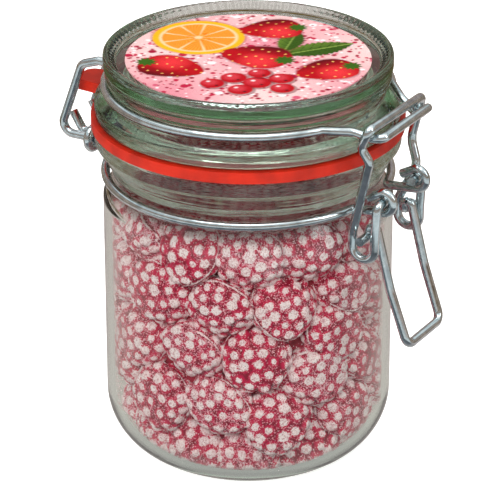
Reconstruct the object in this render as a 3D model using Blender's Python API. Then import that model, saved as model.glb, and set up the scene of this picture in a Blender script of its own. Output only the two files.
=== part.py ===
"""A clip-top glass jar, shut and clasped, filled with sugared berry candies.

The jar stands on the ground plane with its axis on Z. The clasp is at +X and the hinge at -X, and
both are alike on the two sides of the XZ plane. Lengths are in metres.
"""

import math
import random

import bmesh
import bpy
from mathutils import Euler, Vector

MM = 0.001
GAP = 0.3 * MM                   # air between two pieces that touch
SIDES = 44                       # flats round a turned piece

# the glass jar
BODY_RADIUS = 41.0 * MM          # outside of the straight wall
WALL = 2.2 * MM
BASE_THICKNESS = 2.6 * MM
FOOT_RADIUS = 26.5 * MM          # flat face that the jar stands on
HEEL_RADIUS = 18.2 * MM          # big round between base and wall
HEEL_END_ANGLE = 60.0            # degrees below level at which the big round ends
INNER_HEEL_RADIUS = 16.0 * MM
SHOULDER_Z = 79.0 * MM           # top of the straight wall
NECK_RADIUS = 38.4 * MM          # floor of the groove that holds the neck wire
NECK_WIRE_Z = 85.6 * MM
MOUTH_RADIUS = 43.0 * MM         # flange at the mouth
MOUTH_BOTTOM_Z = 94.9 * MM
MOUTH_TOP_Z = 99.4 * MM
BORE_RADIUS = 35.6 * MM          # inside of the neck

# the sealing ring
SEAL_THICKNESS = 3.2 * MM
SEAL_RADIUS = 44.0 * MM
SEAL_BORE = 36.6 * MM
TONGUE_REACH = 56.0 * MM         # end of the pull tongue, from the jar's axis
TONGUE_HALF_WIDTH = 4.8 * MM

# the glass lid
LID_FLANGE_RADIUS = 43.0 * MM
LID_FLANGE_HEIGHT = 4.2 * MM
LID_WIRE_Z = 111.4 * MM
LID_GROOVE_RADIUS = 38.2 * MM
LID_RADIUS = 40.4 * MM
LID_TOP_Z = 121.0 * MM
RECESS_RADIUS = 36.8 * MM
RECESS_Z = 118.0 * MM            # floor of the recess in the lid's top
LID_HOLLOW_RADIUS = 33.5 * MM
LID_HOLLOW_Z = 113.0 * MM        # ceiling of the hollow under the lid
LABEL_RADIUS = 34.2 * MM
LABEL_THICKNESS = 0.4 * MM

# the wires
WIRE = 2.6 * MM                  # diameter of every wire
LID_RING = 39.9 * MM             # centre line of the wire round the lid
NECK_RING = 40.2 * MM            # centre line of the wire round the neck

# the hinge at the back
HINGE_Y = 8.0 * MM               # half the distance between the two hinge legs
HINGE_Z = 87.3 * MM              # height of the hooks that turn in the eyes
EYE_X = -47.0 * MM
EYE_RADIUS = 2.95 * MM
LEG_FOOT_X = -58.6 * MM          # a hinge leg leans out towards its foot
LEG_HEAD_X = -50.4 * MM
LEG_HEAD_Z = 109.3 * MM

# the clasp at the front
NOSE_X = 50.0 * MM               # front of the lid wire's nose, which the latch holds
NOSE_Y = 13.2 * MM               # half the nose's width
NOSE_Z = 110.0 * MM
LATCH_Y = 16.4 * MM              # half the width of the latch's top bar
LINK_Y = 13.0 * MM               # half the width across the latch's lower loops
LINK_X = 44.45 * MM              # middle of a lower loop
LINK_HALF = 3.45 * MM            # half the breadth of a lower loop
LINK_LOW_Z = 73.0 * MM
EAR_X = 48.4 * MM                # middle of an ear of the neck wire
EAR_Y = 9.5 * MM                 # half the distance between the ears
EAR_Z = 89.5 * MM
EAR_RADIUS = 3.0 * MM
PIN_X = 44.5 * MM                # axis that the handle turns on
PIN_Z = 79.0 * MM
PIN_END_Y = 15.4 * MM
ARM_Y = 9.9 * MM                 # half the distance between the handle's arms
HANDLE_X = 57.0 * MM             # cross bar of the handle as it hangs
HANDLE_Z = 48.3 * MM

# the candies
CANDY_RADIUS = 10.0 * MM         # half of a candy's breadth
CANDY_THICKNESS = 14.0 * MM
CANDY_FLOOR = BASE_THICKNESS + GAP
CANDY_TOP_Z = 81.0 * MM
RING_COUNT = 5
CANDIES_PER_RING = 9
CANDIES_ON_TOP = 4
CORE_SIDES = 16


def clear_scene() -> None:
    """Removes every object that the file starts with."""
    for thing in list(bpy.data.objects):
        bpy.data.objects.remove(thing, do_unlink=True)


def finish(name: str, colour: tuple, roughness: float, metallic: float = 0.0):
    """Returns a plain material of one colour."""
    material = bpy.data.materials.new(name)
    material.use_nodes = True
    shader = material.node_tree.nodes["Principled BSDF"]
    shader.inputs["Base Color"].default_value = (*colour, 1.0)
    shader.inputs["Roughness"].default_value = roughness
    shader.inputs["Metallic"].default_value = metallic
    material.diffuse_color = (*colour, 1.0)
    return material


def add_object(name: str, data, material):
    """Puts a mesh or a curve into the scene as a named object."""
    data.materials.append(material)
    thing = bpy.data.objects.new(name, data)
    bpy.context.scene.collection.objects.link(thing)
    return thing


def arc(centre: tuple, radius: float, start: float, end: float, steps: int) -> list:
    """Points (r, z) on a round of a profile, from one angle in degrees to another."""
    turn = [math.radians(start + (end - start) * i / steps) for i in range(steps + 1)]
    return [(centre[0] + radius * math.cos(a), centre[1] + radius * math.sin(a)) for a in turn]


# ---------------------------------------------------------------- turned glass and seal

def turned(name: str, profile: list, material, sides: int = SIDES):
    """Turns a profile of (r, z) points about the Z axis into one closed body."""
    body = bmesh.new()
    line = [body.verts.new((r, 0.0, z)) for r, z in profile]
    edges = [body.edges.new(pair) for pair in zip(line, line[1:])]
    bmesh.ops.spin(body, geom=line + edges, cent=(0, 0, 0), axis=(0, 0, 1), angle=math.tau,
                   steps=sides, use_duplicate=False)
    bmesh.ops.remove_doubles(body, verts=body.verts, dist=1e-6)
    bmesh.ops.dissolve_degenerate(body, edges=body.edges, dist=1e-7)
    bmesh.ops.recalc_face_normals(body, faces=body.faces)
    mesh = bpy.data.meshes.new(name)
    body.to_mesh(mesh)
    body.free()
    mesh.shade_smooth()
    mesh.set_sharp_from_angle(angle=math.radians(35))
    return add_object(name, mesh, material)


def heel_profile() -> list:
    """Outside of the jar from the centre of its base to the top of the heel's round."""
    centre = (BODY_RADIUS - HEEL_RADIUS, HEEL_RADIUS)
    return [(0.0, 0.0), (FOOT_RADIUS, 0.0), (FOOT_RADIUS + 2.2 * MM, 0.5 * MM),
            *arc(centre, HEEL_RADIUS, -HEEL_END_ANGLE, 0.0, 6)]


def inside_profile() -> list:
    """Inside of the jar from the mouth down to the centre of the floor."""
    inner = BODY_RADIUS - WALL
    centre = (inner - INNER_HEEL_RADIUS, BASE_THICKNESS + INNER_HEEL_RADIUS)
    return [(BORE_RADIUS, SHOULDER_Z + 3.5 * MM), (inner - 0.7 * MM, SHOULDER_Z - 0.5 * MM),
            (inner, SHOULDER_Z - 3.0 * MM), *arc(centre, INNER_HEEL_RADIUS, 0.0, -90.0, 5),
            (0.0, BASE_THICKNESS + 1.0 * MM)]


def make_jar():
    """The glass jar: base, wall, wire groove, neck and flanged mouth."""
    glass = finish("jar_glass", (0.80, 0.88, 0.84), 0.05)
    lip = 1.2 * MM
    groove = 2.9 * MM
    outside = heel_profile() + [
        (BODY_RADIUS, SHOULDER_Z),
        (BODY_RADIUS - 0.8 * MM, SHOULDER_Z + 2.6 * MM),
        (NECK_RADIUS + 0.4 * MM, NECK_WIRE_Z - groove),
        (NECK_RADIUS, NECK_WIRE_Z - 0.5 * groove),
        (NECK_RADIUS, NECK_WIRE_Z + 0.5 * groove),
        (NECK_RADIUS + 0.8 * MM, NECK_WIRE_Z + 1.5 * groove),
        (MOUTH_RADIUS - lip, MOUTH_BOTTOM_Z - 1.0 * MM),
        *arc((MOUTH_RADIUS - lip, MOUTH_BOTTOM_Z + lip), lip, -40.0, 0.0, 2),
        *arc((MOUTH_RADIUS - lip, MOUTH_TOP_Z - lip), lip, 0.0, 90.0, 3),
        (BORE_RADIUS + lip, MOUTH_TOP_Z),
        (BORE_RADIUS, MOUTH_TOP_Z - lip),
    ]
    return turned("jar", outside + inside_profile(), glass)


def make_lid():
    """The glass lid: flange, wire groove, raised rim with a recess, hollow underside."""
    glass = finish("lid_glass", (0.80, 0.88, 0.84), 0.05)
    under = MOUTH_TOP_Z + 2 * GAP + SEAL_THICKNESS
    shelf = under + LID_FLANGE_HEIGHT
    edge = 1.0 * MM
    rim = 1.6 * MM
    profile = [
        (0.0, LID_HOLLOW_Z), (LID_HOLLOW_RADIUS - 4.0 * MM, LID_HOLLOW_Z),
        (LID_HOLLOW_RADIUS - 1.2 * MM, LID_HOLLOW_Z - 1.6 * MM),
        (LID_HOLLOW_RADIUS, LID_HOLLOW_Z - 5.0 * MM), (LID_HOLLOW_RADIUS + 1.0 * MM, under),
        *arc((LID_FLANGE_RADIUS - edge, under + edge), edge, -90.0, 0.0, 2),
        *arc((LID_FLANGE_RADIUS - edge, shelf - edge), edge, 0.0, 70.0, 2),
        (LID_GROOVE_RADIUS + 1.2 * MM, LID_WIRE_Z - 1.9 * MM),
        (LID_GROOVE_RADIUS, LID_WIRE_Z - 1.0 * MM),
        (LID_GROOVE_RADIUS, LID_WIRE_Z + 1.0 * MM),
        (LID_RADIUS - 0.5 * MM, LID_WIRE_Z + 2.1 * MM),
        (LID_RADIUS, LID_WIRE_Z + 3.0 * MM),
        *arc((LID_RADIUS - rim, LID_TOP_Z - rim), rim, 0.0, 90.0, 3),
        (RECESS_RADIUS + 1.0 * MM, LID_TOP_Z - 0.6 * MM),
        (RECESS_RADIUS, RECESS_Z), (0.0, RECESS_Z),
    ]
    return turned("lid", profile, glass)


def make_label():
    """The round print that lies in the recess of the lid."""
    paper = finish("label_print", (0.75, 0.18, 0.25), 0.45)
    low = RECESS_Z + GAP
    high = low + LABEL_THICKNESS
    profile = [(0.0, high), (LABEL_RADIUS, high), (LABEL_RADIUS, low), (0.0, low)]
    return turned("label", profile, paper)


def make_seal():
    """The rubber ring between jar and lid, with its pull tongue between the hinge legs."""
    rubber = finish("seal_rubber", (0.80, 0.09, 0.04), 0.5)
    low = MOUTH_TOP_Z + GAP
    high = low + SEAL_THICKNESS
    body = bmesh.new()
    start = math.degrees(math.asin((TONGUE_HALF_WIDTH + 3.0 * MM) / SEAL_RADIUS))
    outline = [(SEAL_RADIUS * math.cos(a), SEAL_RADIUS * math.sin(a)) for a in
               (math.radians(180.0 + start + (360.0 - 2 * start) * i / SIDES)
                for i in range(SIDES + 1))]
    tip = 3.0 * MM
    for side in (1.0, -1.0):
        root = (-SEAL_RADIUS - 1.2 * MM, side * (TONGUE_HALF_WIDTH + 0.6 * MM))
        end = [(-TONGUE_REACH + tip - tip * math.sin(a),
                side * (TONGUE_HALF_WIDTH - tip + tip * math.cos(a)))
               for a in (math.radians(step) for step in (0.0, 30.0, 60.0, 90.0))]
        outline += [root, *end] if side > 0 else [*reversed(end), root]
    hole = [(SEAL_BORE * math.cos(a), SEAL_BORE * math.sin(a)) for a in
            (math.tau * i / SIDES for i in range(SIDES))]
    edges = []
    for loop in (outline, hole):
        ring = [body.verts.new((x, y, low)) for x, y in loop]
        edges += [body.edges.new(pair) for pair in zip(ring, ring[1:] + ring[:1])]
    bmesh.ops.triangle_fill(body, edges=edges, use_beauty=True)
    flat = bmesh.ops.extrude_face_region(body, geom=list(body.faces))
    top = [part for part in flat["geom"] if isinstance(part, bmesh.types.BMVert)]
    bmesh.ops.translate(body, verts=top, vec=(0, 0, high - low))
    bmesh.ops.recalc_face_normals(body, faces=body.faces)
    mesh = bpy.data.meshes.new("seal")
    body.to_mesh(mesh)
    body.free()
    return add_object("seal", mesh, rubber)


# ---------------------------------------------------------------- bent wires

def bent(points: list, steps: int = 3) -> list:
    """Rounds the corners of a wire's route.

    Each point is (x, y, z) or (x, y, z, radius), and a point with no radius stays as it is.
    """
    route = []
    for index, point in enumerate(points):
        here = Vector(point[:3])
        radius = point[3] if len(point) > 3 else 0.0
        if radius == 0.0 or index in (0, len(points) - 1):
            route.append(here)
            continue
        back = (Vector(points[index - 1][:3]) - here).normalized()
        ahead = (Vector(points[index + 1][:3]) - here).normalized()
        half = 0.5 * back.angle(ahead)
        reach = radius / math.tan(half)
        centre = here + (back + ahead).normalized() * (radius / math.sin(half))
        first = here + back * reach - centre
        last = here + ahead * reach - centre
        sweep = first.angle(last)
        for i in range(steps + 1):
            a = sweep * i / steps
            route.append(centre + (first * math.sin(sweep - a) + last * math.sin(a)) / math.sin(sweep))
    return route


def mirrored(points: list) -> list:
    """The same route on the other side of the XZ plane, run backwards."""
    return [(point[0], -point[1], *point[2:]) for point in reversed(points)]


def ring_arc(radius: float, z: float, start: float, end: float, steps: int) -> list:
    """Points of a level ring from one azimuth in degrees to another."""
    turn = [math.radians(start + (end - start) * i / steps) for i in range(steps + 1)]
    return [(radius * math.cos(a), radius * math.sin(a), z) for a in turn]


def wire(name: str, route: list, material, pivot: tuple = (0.0, 0.0, 0.0)):
    """A round wire along a route, with its ends closed and its origin at the pivot."""
    curve = bpy.data.curves.new(name, "CURVE")
    curve.dimensions = "3D"
    curve.bevel_depth = WIRE / 2
    curve.bevel_resolution = 2
    curve.use_fill_caps = True
    spline = curve.splines.new("POLY")
    spline.points.add(len(route) - 1)
    for knot, place in zip(spline.points, route):
        knot.co = (*(Vector(place) - Vector(pivot)), 1.0)
    thing = add_object(name, curve, material)
    thing.location = pivot
    return thing


def as_mesh(thing):
    """Replaces a wire's curve object by the same wire as a mesh object."""
    name, material = thing.name, thing.data.materials[0]
    mesh = bpy.data.meshes.new_from_object(
        thing.evaluated_get(bpy.context.evaluated_depsgraph_get()))
    bpy.data.objects.remove(thing, do_unlink=True)
    mesh.materials.clear()
    return add_object(name, mesh, material)


def azimuth(radius: float, y: float) -> float:
    """Degrees from +X at which a ring of this radius has this y."""
    return math.degrees(math.asin(y / radius))


def hinge_leg() -> list:
    """One hinge leg of the lid wire, from the hook in its eye up to the ring round the lid."""
    corner = math.sqrt(LID_RING ** 2 - HINGE_Y ** 2)
    return [
        (EYE_X + 3.4 * MM, -HINGE_Y, HINGE_Z),
        (LEG_FOOT_X, -HINGE_Y, HINGE_Z - 0.4 * MM, 3.2 * MM),
        (LEG_HEAD_X, -HINGE_Y, LEG_HEAD_Z, 3.0 * MM),
        (-corner - 5.5 * MM, -HINGE_Y, LID_WIRE_Z, 2.0 * MM),
        (-corner, -HINGE_Y, LID_WIRE_Z, 2.0 * MM),
    ]


def nose_side(dip: float) -> list:
    """One side of the nose, which dips under the latch's bar by so much below the nose."""
    return [
        (NOSE_X - 9.0 * MM, -NOSE_Y - 0.6 * MM, NOSE_Z + 0.2 * MM, 4.0 * MM),
        (NOSE_X - 3.4 * MM, -NOSE_Y, NOSE_Z - dip, 1.6 * MM),
        (NOSE_X, -NOSE_Y, NOSE_Z, 1.6 * MM),
    ]


def make_lid_wire(steel):
    """The wire round the lid: a hinge hook at each end, and the nose at the front."""
    leave = 180.0 + azimuth(LID_RING, HINGE_Y) + 8.0
    near = ring_arc(LID_RING, LID_WIRE_Z, leave, 360.0 - 30.0, 12)
    route = [*hinge_leg(), *near, *nose_side(0.8 * MM),
             *mirrored([*hinge_leg(), *near, *nose_side(3.3 * MM)])]
    return wire("lid_wire", bent(route), steel)


def hinge_eye() -> list:
    """One eye of the neck wire, curled round a hinge hook, and its short tail."""
    curl = [(EYE_X, -HINGE_Y + EYE_RADIUS * math.cos(a), HINGE_Z - EYE_RADIUS * math.sin(a)) for a in
            (math.radians(step) for step in range(0, 301, 30))]
    return [(-NECK_RING + 1.0 * MM, -HINGE_Y + EYE_RADIUS, NECK_WIRE_Z),
            (EYE_X + 2.6 * MM, -HINGE_Y + EYE_RADIUS, HINGE_Z, 1.5 * MM), *curl]


def hinge_tail() -> list:
    """The neck wire's short end that stands up beside a hinge leg."""
    y = -HINGE_Y + 3.2 * MM
    return [(EYE_X - 0.2 * MM, y - 0.2 * MM, HINGE_Z + 0.5 * MM),
            (EYE_X - 5.6 * MM, y, HINGE_Z - 0.1 * MM, 1.8 * MM),
            (EYE_X - 9.0 * MM, y, HINGE_Z + 5.4 * MM)]


def ear() -> list:
    """One end of the neck wire, curled into the ear that a latch loop hangs in."""
    curl = [(EAR_X + EAR_RADIUS * math.sin(a), -EAR_Y, EAR_Z + EAR_RADIUS * math.cos(a)) for a in
            (math.radians(step) for step in range(0, 181, 30))]
    return [(EAR_X - 4.5 * MM, -EAR_Y, EAR_Z + 0.5 * MM), *curl,
            (math.sqrt(NECK_RING ** 2 - EAR_Y ** 2), -EAR_Y, NECK_WIRE_Z, 2.0 * MM)]


def make_neck_wire(steel):
    """The wire round the neck: an ear at each end, and two eyes that hold the hinge."""
    leave = azimuth(NECK_RING, EAR_Y) + 6.0
    back = ring_arc(NECK_RING, NECK_WIRE_Z, -leave, -360.0 + leave, 26)
    band = as_mesh(wire("neck_wire", bent([*ear(), *back, *mirrored(ear())]), steel))
    extras = bpy.data.collections.new("neck_wire_eyes")
    for index, route in enumerate((hinge_eye(), mirrored(hinge_eye()),
                                   hinge_tail(), mirrored(hinge_tail()))):
        eye = as_mesh(wire(f"eye_{index}", bent(route, 2), steel))
        bpy.context.scene.collection.objects.unlink(eye)
        extras.objects.link(eye)
    return fuse(band, extras)


def latch_loop() -> list:
    """One lower loop of the latch, from the end that lies in the ear to the foot of the leg."""
    inner, outer = LINK_X - LINK_HALF, LINK_X + LINK_HALF
    bend = 0.98 * LINK_HALF
    return [
        (EAR_X, -EAR_Y + 2.8 * MM, EAR_Z),
        (EAR_X, -LINK_Y, EAR_Z, 1.8 * MM),
        (outer, -LINK_Y, LINK_LOW_Z + 2 * LINK_HALF),
        (outer, -LINK_Y, LINK_LOW_Z, bend),
        (inner, -LINK_Y, LINK_LOW_Z, bend),
        (inner, -LINK_Y, PIN_Z + 1.5 * MM, 6.0 * MM),
    ]


def make_latch(steel):
    """The latch: a top bar over the nose, two waved legs and the loops that hang in the ears.

    The wave is lower in the far leg, and the bar comes down a little towards it.
    """
    near_leg = [
        (47.0 * MM, -LINK_Y - 2.2 * MM, 103.2 * MM, 3.0 * MM),
        (44.6 * MM, -LATCH_Y + 0.4 * MM, 107.2 * MM, 3.0 * MM),
        (47.2 * MM, -LATCH_Y, 112.8 * MM, 1.8 * MM),
    ]
    far_leg = [
        (46.3 * MM, -LINK_Y - 1.0 * MM, 91.5 * MM, 5.0 * MM),
        (43.2 * MM, -LINK_Y - 2.8 * MM, 98.2 * MM, 6.0 * MM),
        (46.0 * MM, -LATCH_Y, 111.2 * MM, 1.8 * MM),
    ]
    route = [*latch_loop(), *near_leg, *mirrored([*latch_loop(), *far_leg])]
    return wire("latch", bent(route), steel)


def make_handle(steel):
    """The handle: a bail whose hooked ends turn in the latch's lower loops."""
    hook_x, hook_z = PIN_X + 2.3 * MM, PIN_Z + 2.7 * MM
    middle_x, middle_z = PIN_X + 6.8 * MM, PIN_Z - 14.7 * MM
    side = [
        (PIN_X, -PIN_END_Y, PIN_Z),
        (PIN_X, -ARM_Y, PIN_Z, 1.4 * MM),
        (PIN_X, -ARM_Y, hook_z, 1.3 * MM),
        (hook_x, -ARM_Y, hook_z, 1.3 * MM),
        (middle_x, -ARM_Y, middle_z, 30.0 * MM),
        (HANDLE_X, -ARM_Y + 0.2 * MM, HANDLE_Z, 2.8 * MM),
    ]
    return wire("handle", bent(side + mirrored(side)), steel, (PIN_X, 0.0, PIN_Z))


# ---------------------------------------------------------------- candies

def fuse(body, parts):
    """Joins a body with the objects of a collection into one solid, then removes those."""
    joint = body.modifiers.new("fuse", "BOOLEAN")
    joint.operation = "UNION"
    joint.operand_type = "COLLECTION"
    joint.collection = parts
    joint.solver = "EXACT"
    evaluated = body.evaluated_get(bpy.context.evaluated_depsgraph_get())
    whole = bpy.data.meshes.new_from_object(evaluated)
    name, material = body.name, body.data.materials[0]
    for piece in [*parts.objects, body]:
        bpy.data.objects.remove(piece, do_unlink=True)
    bpy.data.collections.remove(parts)
    whole.materials.clear()
    whole.name = name
    return add_object(name, whole, material)


def bore_at(z: float) -> float:
    """Radius of the jar's inside at a height, less the gap that the candies keep."""
    inner = BODY_RADIUS - WALL - 2 * GAP
    heel = CANDY_FLOOR + INNER_HEEL_RADIUS + GAP
    if z < heel:
        drop = min(heel - z, INNER_HEEL_RADIUS - GAP)
        return inner - INNER_HEEL_RADIUS + math.sqrt(INNER_HEEL_RADIUS ** 2 - drop ** 2)
    if z < SHOULDER_Z - 4.0 * MM:
        return inner
    return inner - (z - SHOULDER_Z + 4.0 * MM) * 0.4


def candy_mesh(draw: random.Random):
    """One candy with few sides: a flattened ball whose knobs stand out a little."""
    body = bmesh.new()
    bmesh.ops.create_uvsphere(body, u_segments=7, v_segments=4, radius=1.0)
    size = draw.uniform(0.94, 1.05)
    for index, vertex in enumerate(body.verts):
        knob = 1.05 if index % 2 else 0.98
        vertex.co *= knob * size
        vertex.co.x *= CANDY_RADIUS
        vertex.co.y *= CANDY_RADIUS
        vertex.co.z *= CANDY_THICKNESS / 2
    return body


def place_candy(draw: random.Random, angle: float, reach: float, z: float, tilt: float):
    """A candy turned to face outwards, tipped at random, and pushed in until it is in the jar."""
    body = candy_mesh(draw)
    facing = Euler((draw.uniform(-tilt, tilt), math.radians(90.0) + draw.uniform(-tilt, tilt),
                    draw.uniform(0.0, math.tau)), "ZYX").to_matrix()
    turn = Euler((0.0, 0.0, angle)).to_matrix()
    bmesh.ops.transform(body, matrix=(turn @ facing).to_4x4(), verts=body.verts)
    lowest = min(vertex.co.z for vertex in body.verts)
    z = max(z, CANDY_FLOOR - lowest + GAP)
    step = 0.25 * MM
    while reach > 0.0:
        middle = Vector((reach * math.cos(angle), reach * math.sin(angle), z))
        places = [middle + vertex.co for vertex in body.verts]
        if all(math.hypot(p.x, p.y) <= bore_at(p.z) for p in places):
            break
        reach -= step
    bmesh.ops.translate(body, verts=body.verts, vec=middle)
    return body


def make_candies():
    """The heap of candies: a plain core with the candies that show fused to it."""
    sugar = finish("candy_sugar", (0.62, 0.10, 0.16), 0.6)
    core_radius = 27.0 * MM
    core_top = CANDY_TOP_Z - 9.0 * MM
    core = turned("candies", [(0.0, core_top), (core_radius, core_top),
                              (core_radius, CANDY_FLOOR + 10.0 * MM),
                              (core_radius - 9.0 * MM, CANDY_FLOOR + GAP),
                              (0.0, CANDY_FLOOR + 1.6 * MM)], sugar, CORE_SIDES)
    draw = random.Random(7)
    candies = bpy.data.collections.new("candies_that_show")
    bodies = []
    pitch = (CANDY_TOP_Z - CANDY_FLOOR - CANDY_RADIUS * 1.7) / (RING_COUNT - 1)
    for level in range(RING_COUNT):
        for index in range(CANDIES_PER_RING):
            angle = math.tau * (index + 0.5 * (level % 2)) / CANDIES_PER_RING
            z = CANDY_FLOOR + CANDY_RADIUS * 0.85 + level * pitch
            bodies.append(place_candy(draw, angle + draw.uniform(-0.06, 0.06), 33.0 * MM,
                                      z + draw.uniform(-1.2, 1.2) * MM, 0.45))
    for index in range(CANDIES_ON_TOP):
        angle = math.tau * index / CANDIES_ON_TOP
        bodies.append(place_candy(draw, angle, 16.0 * MM, core_top + draw.uniform(0.0, 3.0) * MM, 1.2))
    for index, body in enumerate(bodies):
        mesh = bpy.data.meshes.new(f"candy_{index}")
        body.to_mesh(mesh)
        body.free()
        candies.objects.link(bpy.data.objects.new(f"candy_{index}", mesh))
    return fuse(core, candies)


def main() -> None:
    """Builds every piece."""
    clear_scene()
    steel = finish("zinc_steel", (0.62, 0.65, 0.67), 0.25, 1.0)
    make_jar()
    make_candies()
    make_seal()
    make_lid()
    make_label()
    make_neck_wire(steel)
    make_lid_wire(steel)
    make_latch(steel)
    make_handle(steel)


main()
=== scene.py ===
"""Dressed scene of a clip-top glass jar, shut and clasped, full of sugared berry candies.

Every piece is built in metres in the frame's own space: the jar's axis is Z, the clasp is at +X
and the hinge at -X.
"""
import logging
import math
from dataclasses import dataclass
from enum import Enum

import bmesh
import bpy
import numpy as np
from mathutils import Euler, Matrix, Vector


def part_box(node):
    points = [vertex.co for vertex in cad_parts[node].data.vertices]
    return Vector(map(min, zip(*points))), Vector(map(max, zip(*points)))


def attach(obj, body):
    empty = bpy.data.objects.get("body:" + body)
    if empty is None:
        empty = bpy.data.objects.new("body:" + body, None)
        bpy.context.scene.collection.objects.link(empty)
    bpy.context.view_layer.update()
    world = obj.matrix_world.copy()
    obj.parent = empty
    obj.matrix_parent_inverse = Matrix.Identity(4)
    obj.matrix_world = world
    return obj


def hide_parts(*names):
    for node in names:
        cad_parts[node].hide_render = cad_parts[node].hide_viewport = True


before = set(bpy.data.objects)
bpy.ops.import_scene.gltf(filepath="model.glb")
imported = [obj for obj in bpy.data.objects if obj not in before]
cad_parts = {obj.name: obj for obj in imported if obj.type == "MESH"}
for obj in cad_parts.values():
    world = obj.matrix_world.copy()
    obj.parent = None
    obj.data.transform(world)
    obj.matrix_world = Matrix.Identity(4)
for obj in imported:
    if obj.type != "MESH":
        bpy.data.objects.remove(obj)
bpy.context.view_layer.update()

MM = 0.001
log = logging.getLogger("jar_of_candies")

Point = tuple[float, ...]
Source = bpy.types.Node | bpy.types.NodeSocket      # a node stands for its first output
Stops = tuple[tuple[float, str], ...]               # positions on a ramp, with sRGB hex colours


class Body(Enum):
    """Bodies of the frame that pieces ride on."""

    JAR = "jar"
    HANDLE = "handle"


class Side(Enum):
    """The side of the XZ plane that a bent wire's half lies on."""

    NEAR = -1.0
    FAR = 1.0


# ---------------------------------------------------------------- selecting and shaping


def linear(hex_colour: str) -> tuple[float, float, float, float]:
    """Turns an sRGB hex colour into linear light.

    Args:
        hex_colour: six hex digits after a hash sign.

    Returns:
        Red, green, blue and an alpha of 1.
    """
    parts = [int(hex_colour[i:i + 2], 16) / 255.0 for i in (1, 3, 5)]
    return (*(p / 12.92 if p <= 0.04045 else ((p + 0.055) / 1.055) ** 2.4 for p in parts), 1.0)


def choose(thing: bpy.types.Object, *others: bpy.types.Object) -> None:
    """Selects these objects alone, with the first one active.

    Args:
        thing: the object to make active.
        others: further objects to select.
    """
    bpy.ops.object.select_all(action="DESELECT")
    for each in (thing, *others):
        each.select_set(True)
    bpy.context.view_layer.objects.active = thing


def place_object(name: str, data: bpy.types.ID) -> bpy.types.Object:
    """Puts a new object with this data in the scene.

    Args:
        name: name of the object.
        data: its mesh, curve, lamp or camera.

    Returns:
        The object, linked to the scene.
    """
    thing = bpy.data.objects.new(name, data)
    bpy.context.scene.collection.objects.link(thing)
    return thing


def open_mesh(thing: bpy.types.Object) -> None:
    """Opens a mesh object for editing, with everything in it selected.

    Args:
        thing: the mesh object.
    """
    choose(thing)
    bpy.ops.object.mode_set(mode="EDIT")
    bpy.ops.mesh.select_all(action="SELECT")


def draw_lines(name: str, loops: list[list[Point]], closed: bool) -> bpy.types.Object:
    """Draws one or more outlines as edges of a new mesh object.

    Args:
        name: name of the object.
        loops: the points of each outline, in metres.
        closed: whether each outline's last point joins its first.

    Returns:
        The object, selected and active.
    """
    places, edges = [], []
    for loop in loops:
        first = len(places)
        places += [tuple(p[:3]) for p in loop]
        edges += [(first + i, first + i + 1) for i in range(len(loop) - 1)]
        if closed:
            edges.append((first + len(loop) - 1, first))
    mesh = bpy.data.meshes.new(name)
    mesh.from_pydata(places, edges, [])
    thing = place_object(name, mesh)
    choose(thing)
    return thing


def smooth(thing: bpy.types.Object, angle: float = 32.0) -> None:
    """Shades an object smooth, with edges sharper than the angle in degrees kept."""
    choose(thing)
    bpy.ops.object.shade_smooth_by_angle(angle=math.radians(angle))


def turn(thing: bpy.types.Object, steps: int) -> None:
    """Spins an open outline about the Z axis into a closed body that faces outwards.

    Args:
        thing: the object that holds the outline, from axis to axis.
        steps: how many steps go round.
    """
    open_mesh(thing)
    bpy.ops.mesh.spin(steps=steps, angle=math.tau, center=(0, 0, 0), axis=(0, 0, 1))
    bpy.ops.mesh.select_all(action="SELECT")
    bpy.ops.mesh.remove_doubles(threshold=1e-6)
    bpy.ops.mesh.dissolve_degenerate(threshold=1e-7)
    bpy.ops.mesh.select_all(action="SELECT")
    bpy.ops.mesh.normals_make_consistent(inside=False)
    if bmesh.from_edit_mesh(thing.data).calc_volume(signed=True) < 0:
        bpy.ops.mesh.flip_normals()
    bpy.ops.object.mode_set(mode="OBJECT")
    smooth(thing)
    bpy.ops.object.modifier_add(type="WEIGHTED_NORMAL")     # flat walls stay flat, as light bends
    thing.modifiers[0].weight = 100
    thing.modifiers[0].keep_sharp = True
    bpy.ops.object.modifier_apply(modifier=thing.modifiers[0].name)


def face_outwards(thing: bpy.types.Object) -> None:
    """Turns the normals of a closed mesh outwards.

    Args:
        thing: the mesh object.
    """
    open_mesh(thing)
    bpy.ops.mesh.normals_make_consistent(inside=False)
    bpy.ops.object.mode_set(mode="OBJECT")


def points_of(mesh: bpy.types.Mesh) -> np.ndarray:
    """Reads the points of a mesh in metres, one row for each.

    Args:
        mesh: the mesh to read.

    Returns:
        Places, in metres.
    """
    places = np.empty(len(mesh.vertices) * 3)
    mesh.vertices.foreach_get("co", places)
    return places.reshape(-1, 3)


def mark(mesh: bpy.types.Mesh, name: str, values: np.ndarray) -> None:
    """Gives a mesh an attribute with one number for each point."""
    mesh.attributes.new(name, "FLOAT", "POINT").data.foreach_set("value", values)


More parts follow.
